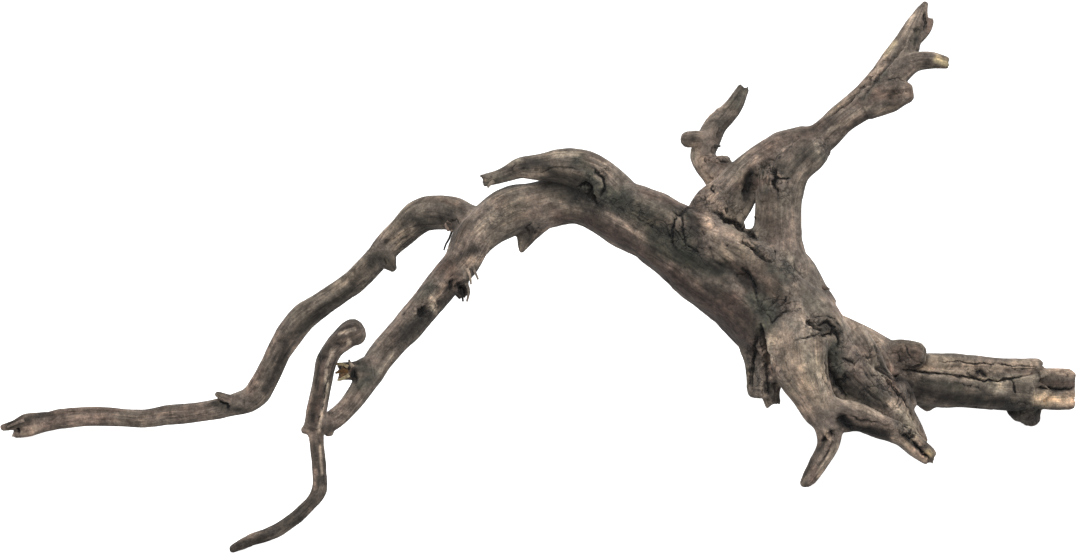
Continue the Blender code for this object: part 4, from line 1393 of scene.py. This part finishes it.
def make_wood():
    """The wood as one piece: grown together, carved, worn, thinned out and tinted."""
    stems = [Stem(limb, order) for order, limb in enumerate(LIMBS)]
    names = [limb.name for limb in LIMBS]
    points, triangles = grown_form(stems)
    edges = edges_of(triangles)
    degree = np.bincount(edges.ravel(), minlength=len(points)).astype(float)
    points = blurred(points, edges, degree, POINT_SMOOTHING)
    normals = blurred(vertex_normals(points, triangles), edges, degree, NORMAL_SMOOTHING)
    normals /= np.linalg.norm(normals, axis=1)[:, None]
    space = LimbSpace(stems, points)
    height, dark, core = carve(points, normals, space, names)
    worn, cracked, grain = weathering(points, space)
    points = points + normals * ((height + worn) * 0.001)[:, None]
    points[:, 2] = np.maximum(points[:, 2], 0)
    hollow = hollowness(points, triangles, edges, degree)
    # Painted shade: a mask that darkens hollows, carved grooves, cracks and pits
    cavity = np.clip(np.maximum(0.85 * ramp(hollow, 0.4, 3.4), np.maximum(dark, cracked)), 0, 1)
    # The second value is the ridges, which the material makes paler as wear and painted highlight
    values = [cavity, ramp(-hollow, 0.4, 3.0), grain]
    final, faces = thinned(points, triangles)
    if len(final) != len(points):
        values = carried_over(points, final, values)
        space = LimbSpace(stems, final)
        core = carve(final, vertex_normals(final, faces), space, names)[2]
    wood = mesh_object("driftwood_surface", final, faces)
    mesh = wood.data
    mesh.shade_smooth()
    for name, value in zip(("cavity", "ridge", "grain"), values):
        add_attribute(mesh, name, value)
    add_attribute(mesh, "whole", 1 - 2 * space.second)
    add_attribute(mesh, "core", core)
    add_attribute(mesh, "crazed", crazing(final))
    tone = tone_of(final, space)
    add_attribute(mesh, "tone", np.concatenate([tone, np.ones((len(tone), 1))], 1), "FLOAT_COLOR")
    add_attribute(mesh, "along", limb_corners(faces, final, space, stems), "FLOAT_VECTOR", "CORNER")
    mesh.materials.append(wood_material())
    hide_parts("driftwood")
    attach(wood, "root")
    return wood


# Torn fibres, splinters and a loop of fine root, along lines of the drawing:
# half width at the start, half width at the end, tone, line
STRANDS = [
    (0.9, 0.7, "pink", [(449, 231), (446, 226), (447, 221), (452, 218), (458, 221), (457, 228), (451, 231)]),
    (0.8, 0.4, "dark", [(452, 231), (449, 239), (446, 244), (444, 250)]),
    (0.7, 0.5, "brown", [(447, 221), (454, 225), (461, 219)]),
    (1.3, 0.6, "grey", [(466, 283), (469, 291), (467, 301)]),
    (1.2, 0.6, "dark", [(461, 288), (462, 294), (463, 301)]),
    (1.1, 0.5, "grey", [(472, 266), (475, 272), (478, 279)]),
    (1.1, 0.5, "tan", [(467, 268), (470, 276), (471, 284)]),
    (1.7, 0.7, "fresh", [(348, 367), (342, 364), (337, 364)]),
    (1.6, 0.6, "rust", [(348, 371), (341, 371), (336, 373)]),
    (1.5, 0.6, "fresh", [(349, 375), (342, 379), (338, 380)]),
    (1.4, 0.5, "pale", [(353, 367), (350, 363), (349, 360)]),
    (1.3, 0.6, "dark", [(350, 369), (344, 367), (340, 368)]),
    (1.9, 0.8, "grey", [(490, 177), (485, 176), (481, 176)]),
    (1.7, 0.7, "grey", [(494, 181), (490, 184), (488, 187)]),
    (1.5, 0.6, "dark", [(714, 146), (717, 146), (720, 146)]),
    (1.8, 0.6, "brown", [(822, 287), (826, 288), (829, 289)]),
    (1.2, 0.5, "dark", [(755, 216), (757, 219), (758, 222)]),
    (1.2, 0.5, "grey", [(24, 420), (14, 424), (8, 427)]),
]


def make_strands(wood):
    """Thin fibres that start on the wood's surface, as one piece."""
    mesh = wood.data
    tree = BVHTree.FromPolygons([v.co for v in mesh.vertices], [p.vertices for p in mesh.polygons])
    eye = MIDDLE + OUT * EYE_DISTANCE
    stems = []
    for order, (start, end, _, line) in enumerate(STRANDS):
        hits = (tree.ray_cast(Vector(eye), Vector(place(*point, 0) - eye))[0] for point in line)
        toward = drawn(np.array([next(hit for hit in hits if hit)]))[1][0]
        widths = np.linspace(start, end, len(line))
        stations = [(across, down, toward, width) for (across, down), width in zip(line, widths)]
        stems.append(Stem(Limb("strand_%d" % order, stations), order))
    vertices, faces, counts = joined_tubes(stems)
    tones = [(*TONES[strand[2]], 1) for strand in STRANDS]
    strands = mesh_object("driftwood_strands", vertices, faces)
    strands.data.shade_smooth()
    add_attribute(strands.data, "tone", np.repeat(tones, counts, axis=0), "FLOAT_COLOR")
    strands.data.materials.append(wood.data.materials[0])
    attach(strands, "root")


# Setting


def floor():
    corners = [(-1, -1), (1, -1), (1, 1), (-1, 1)]
    vertices = [(x * FLOOR_REACH, y * FLOOR_REACH, FLOOR_LEVEL) for x, y in corners]
    sheet = mesh_object("floor", vertices, [(0, 1, 2, 3)])
    material = bpy.data.materials.new("pale_floor")
    n = Nodes(material)
    n.feed(n.shader, {
        "Base Color": (0.9, 0.9, 0.9),
        "Roughness": 0.9,
        "Emission Color": (1, 1, 1),
        "Emission Strength": 0.9,
    })
    sheet.data.materials.append(material)
    sheet.visible_diffuse = False
    sheet.visible_glossy = False


def area_light(name, place_at, aim, size, power):
    data = bpy.data.lights.new(name, "AREA")
    data.shape = "DISK"
    data.size = size
    data.energy = power
    lamp = bpy.data.objects.new(name, data)
    lamp.location = place_at
    lamp.rotation_euler = (Vector(aim) - Vector(place_at)).to_track_quat("-Z", "Y").to_euler()
    bpy.context.scene.collection.objects.link(lamp)


def lights():
    """Soft light from above the eye, a weaker one from the left, and the pale surroundings."""
    area_light("key", (0.1, -0.85, 1.5), (0.05, 0.03, 0.1), 1.1, 21)
    area_light("fill", (-0.9, -1.5, 0.7), (0.0, 0.0, 0.1), 1.4, 5)
    world = bpy.data.worlds.new("studio")
    bpy.context.scene.world = world
    n = Nodes(world, "Background")
    direction = n.add("ShaderNodeTexCoord", output="Generated")
    height = n.add("ShaderNodeSeparateXYZ", {"Vector": direction}, "Z")
    light = n.remap(height, SKY_LOWEST, 1.0, SKY_BELOW, SKY_ABOVE)
    seen = n.add("ShaderNodeLightPath", output="Is Camera Ray")
    strength = n.add("ShaderNodeMix", {"Factor": seen, "A": light, "B": 1.0}, "Result")
    n.feed(n.shader, {"Color": (1, 1, 1), "Strength": strength})


def camera():
    """The eye that the drawing was made from."""
    data = bpy.data.cameras.new("camera")
    data.sensor_width = SENSOR_WIDTH
    data.lens = SENSOR_WIDTH * EYE_DISTANCE / (2 * DRAWING_CENTRE[0] * UNIT)
    eye = bpy.data.objects.new("camera", data)
    eye.location = MIDDLE + OUT * EYE_DISTANCE
    eye.rotation_euler = Vector(-OUT).to_track_quat("-Z", "Y").to_euler()
    bpy.context.scene.collection.objects.link(eye)
    bpy.context.scene.camera = eye


def main():
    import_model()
    make_strands(make_wood())
    floor()
    lights()
    camera()
    scene = bpy.context.scene
    scene.view_settings.view_transform = "Standard"
    scene.view_settings.look = "None"


main()
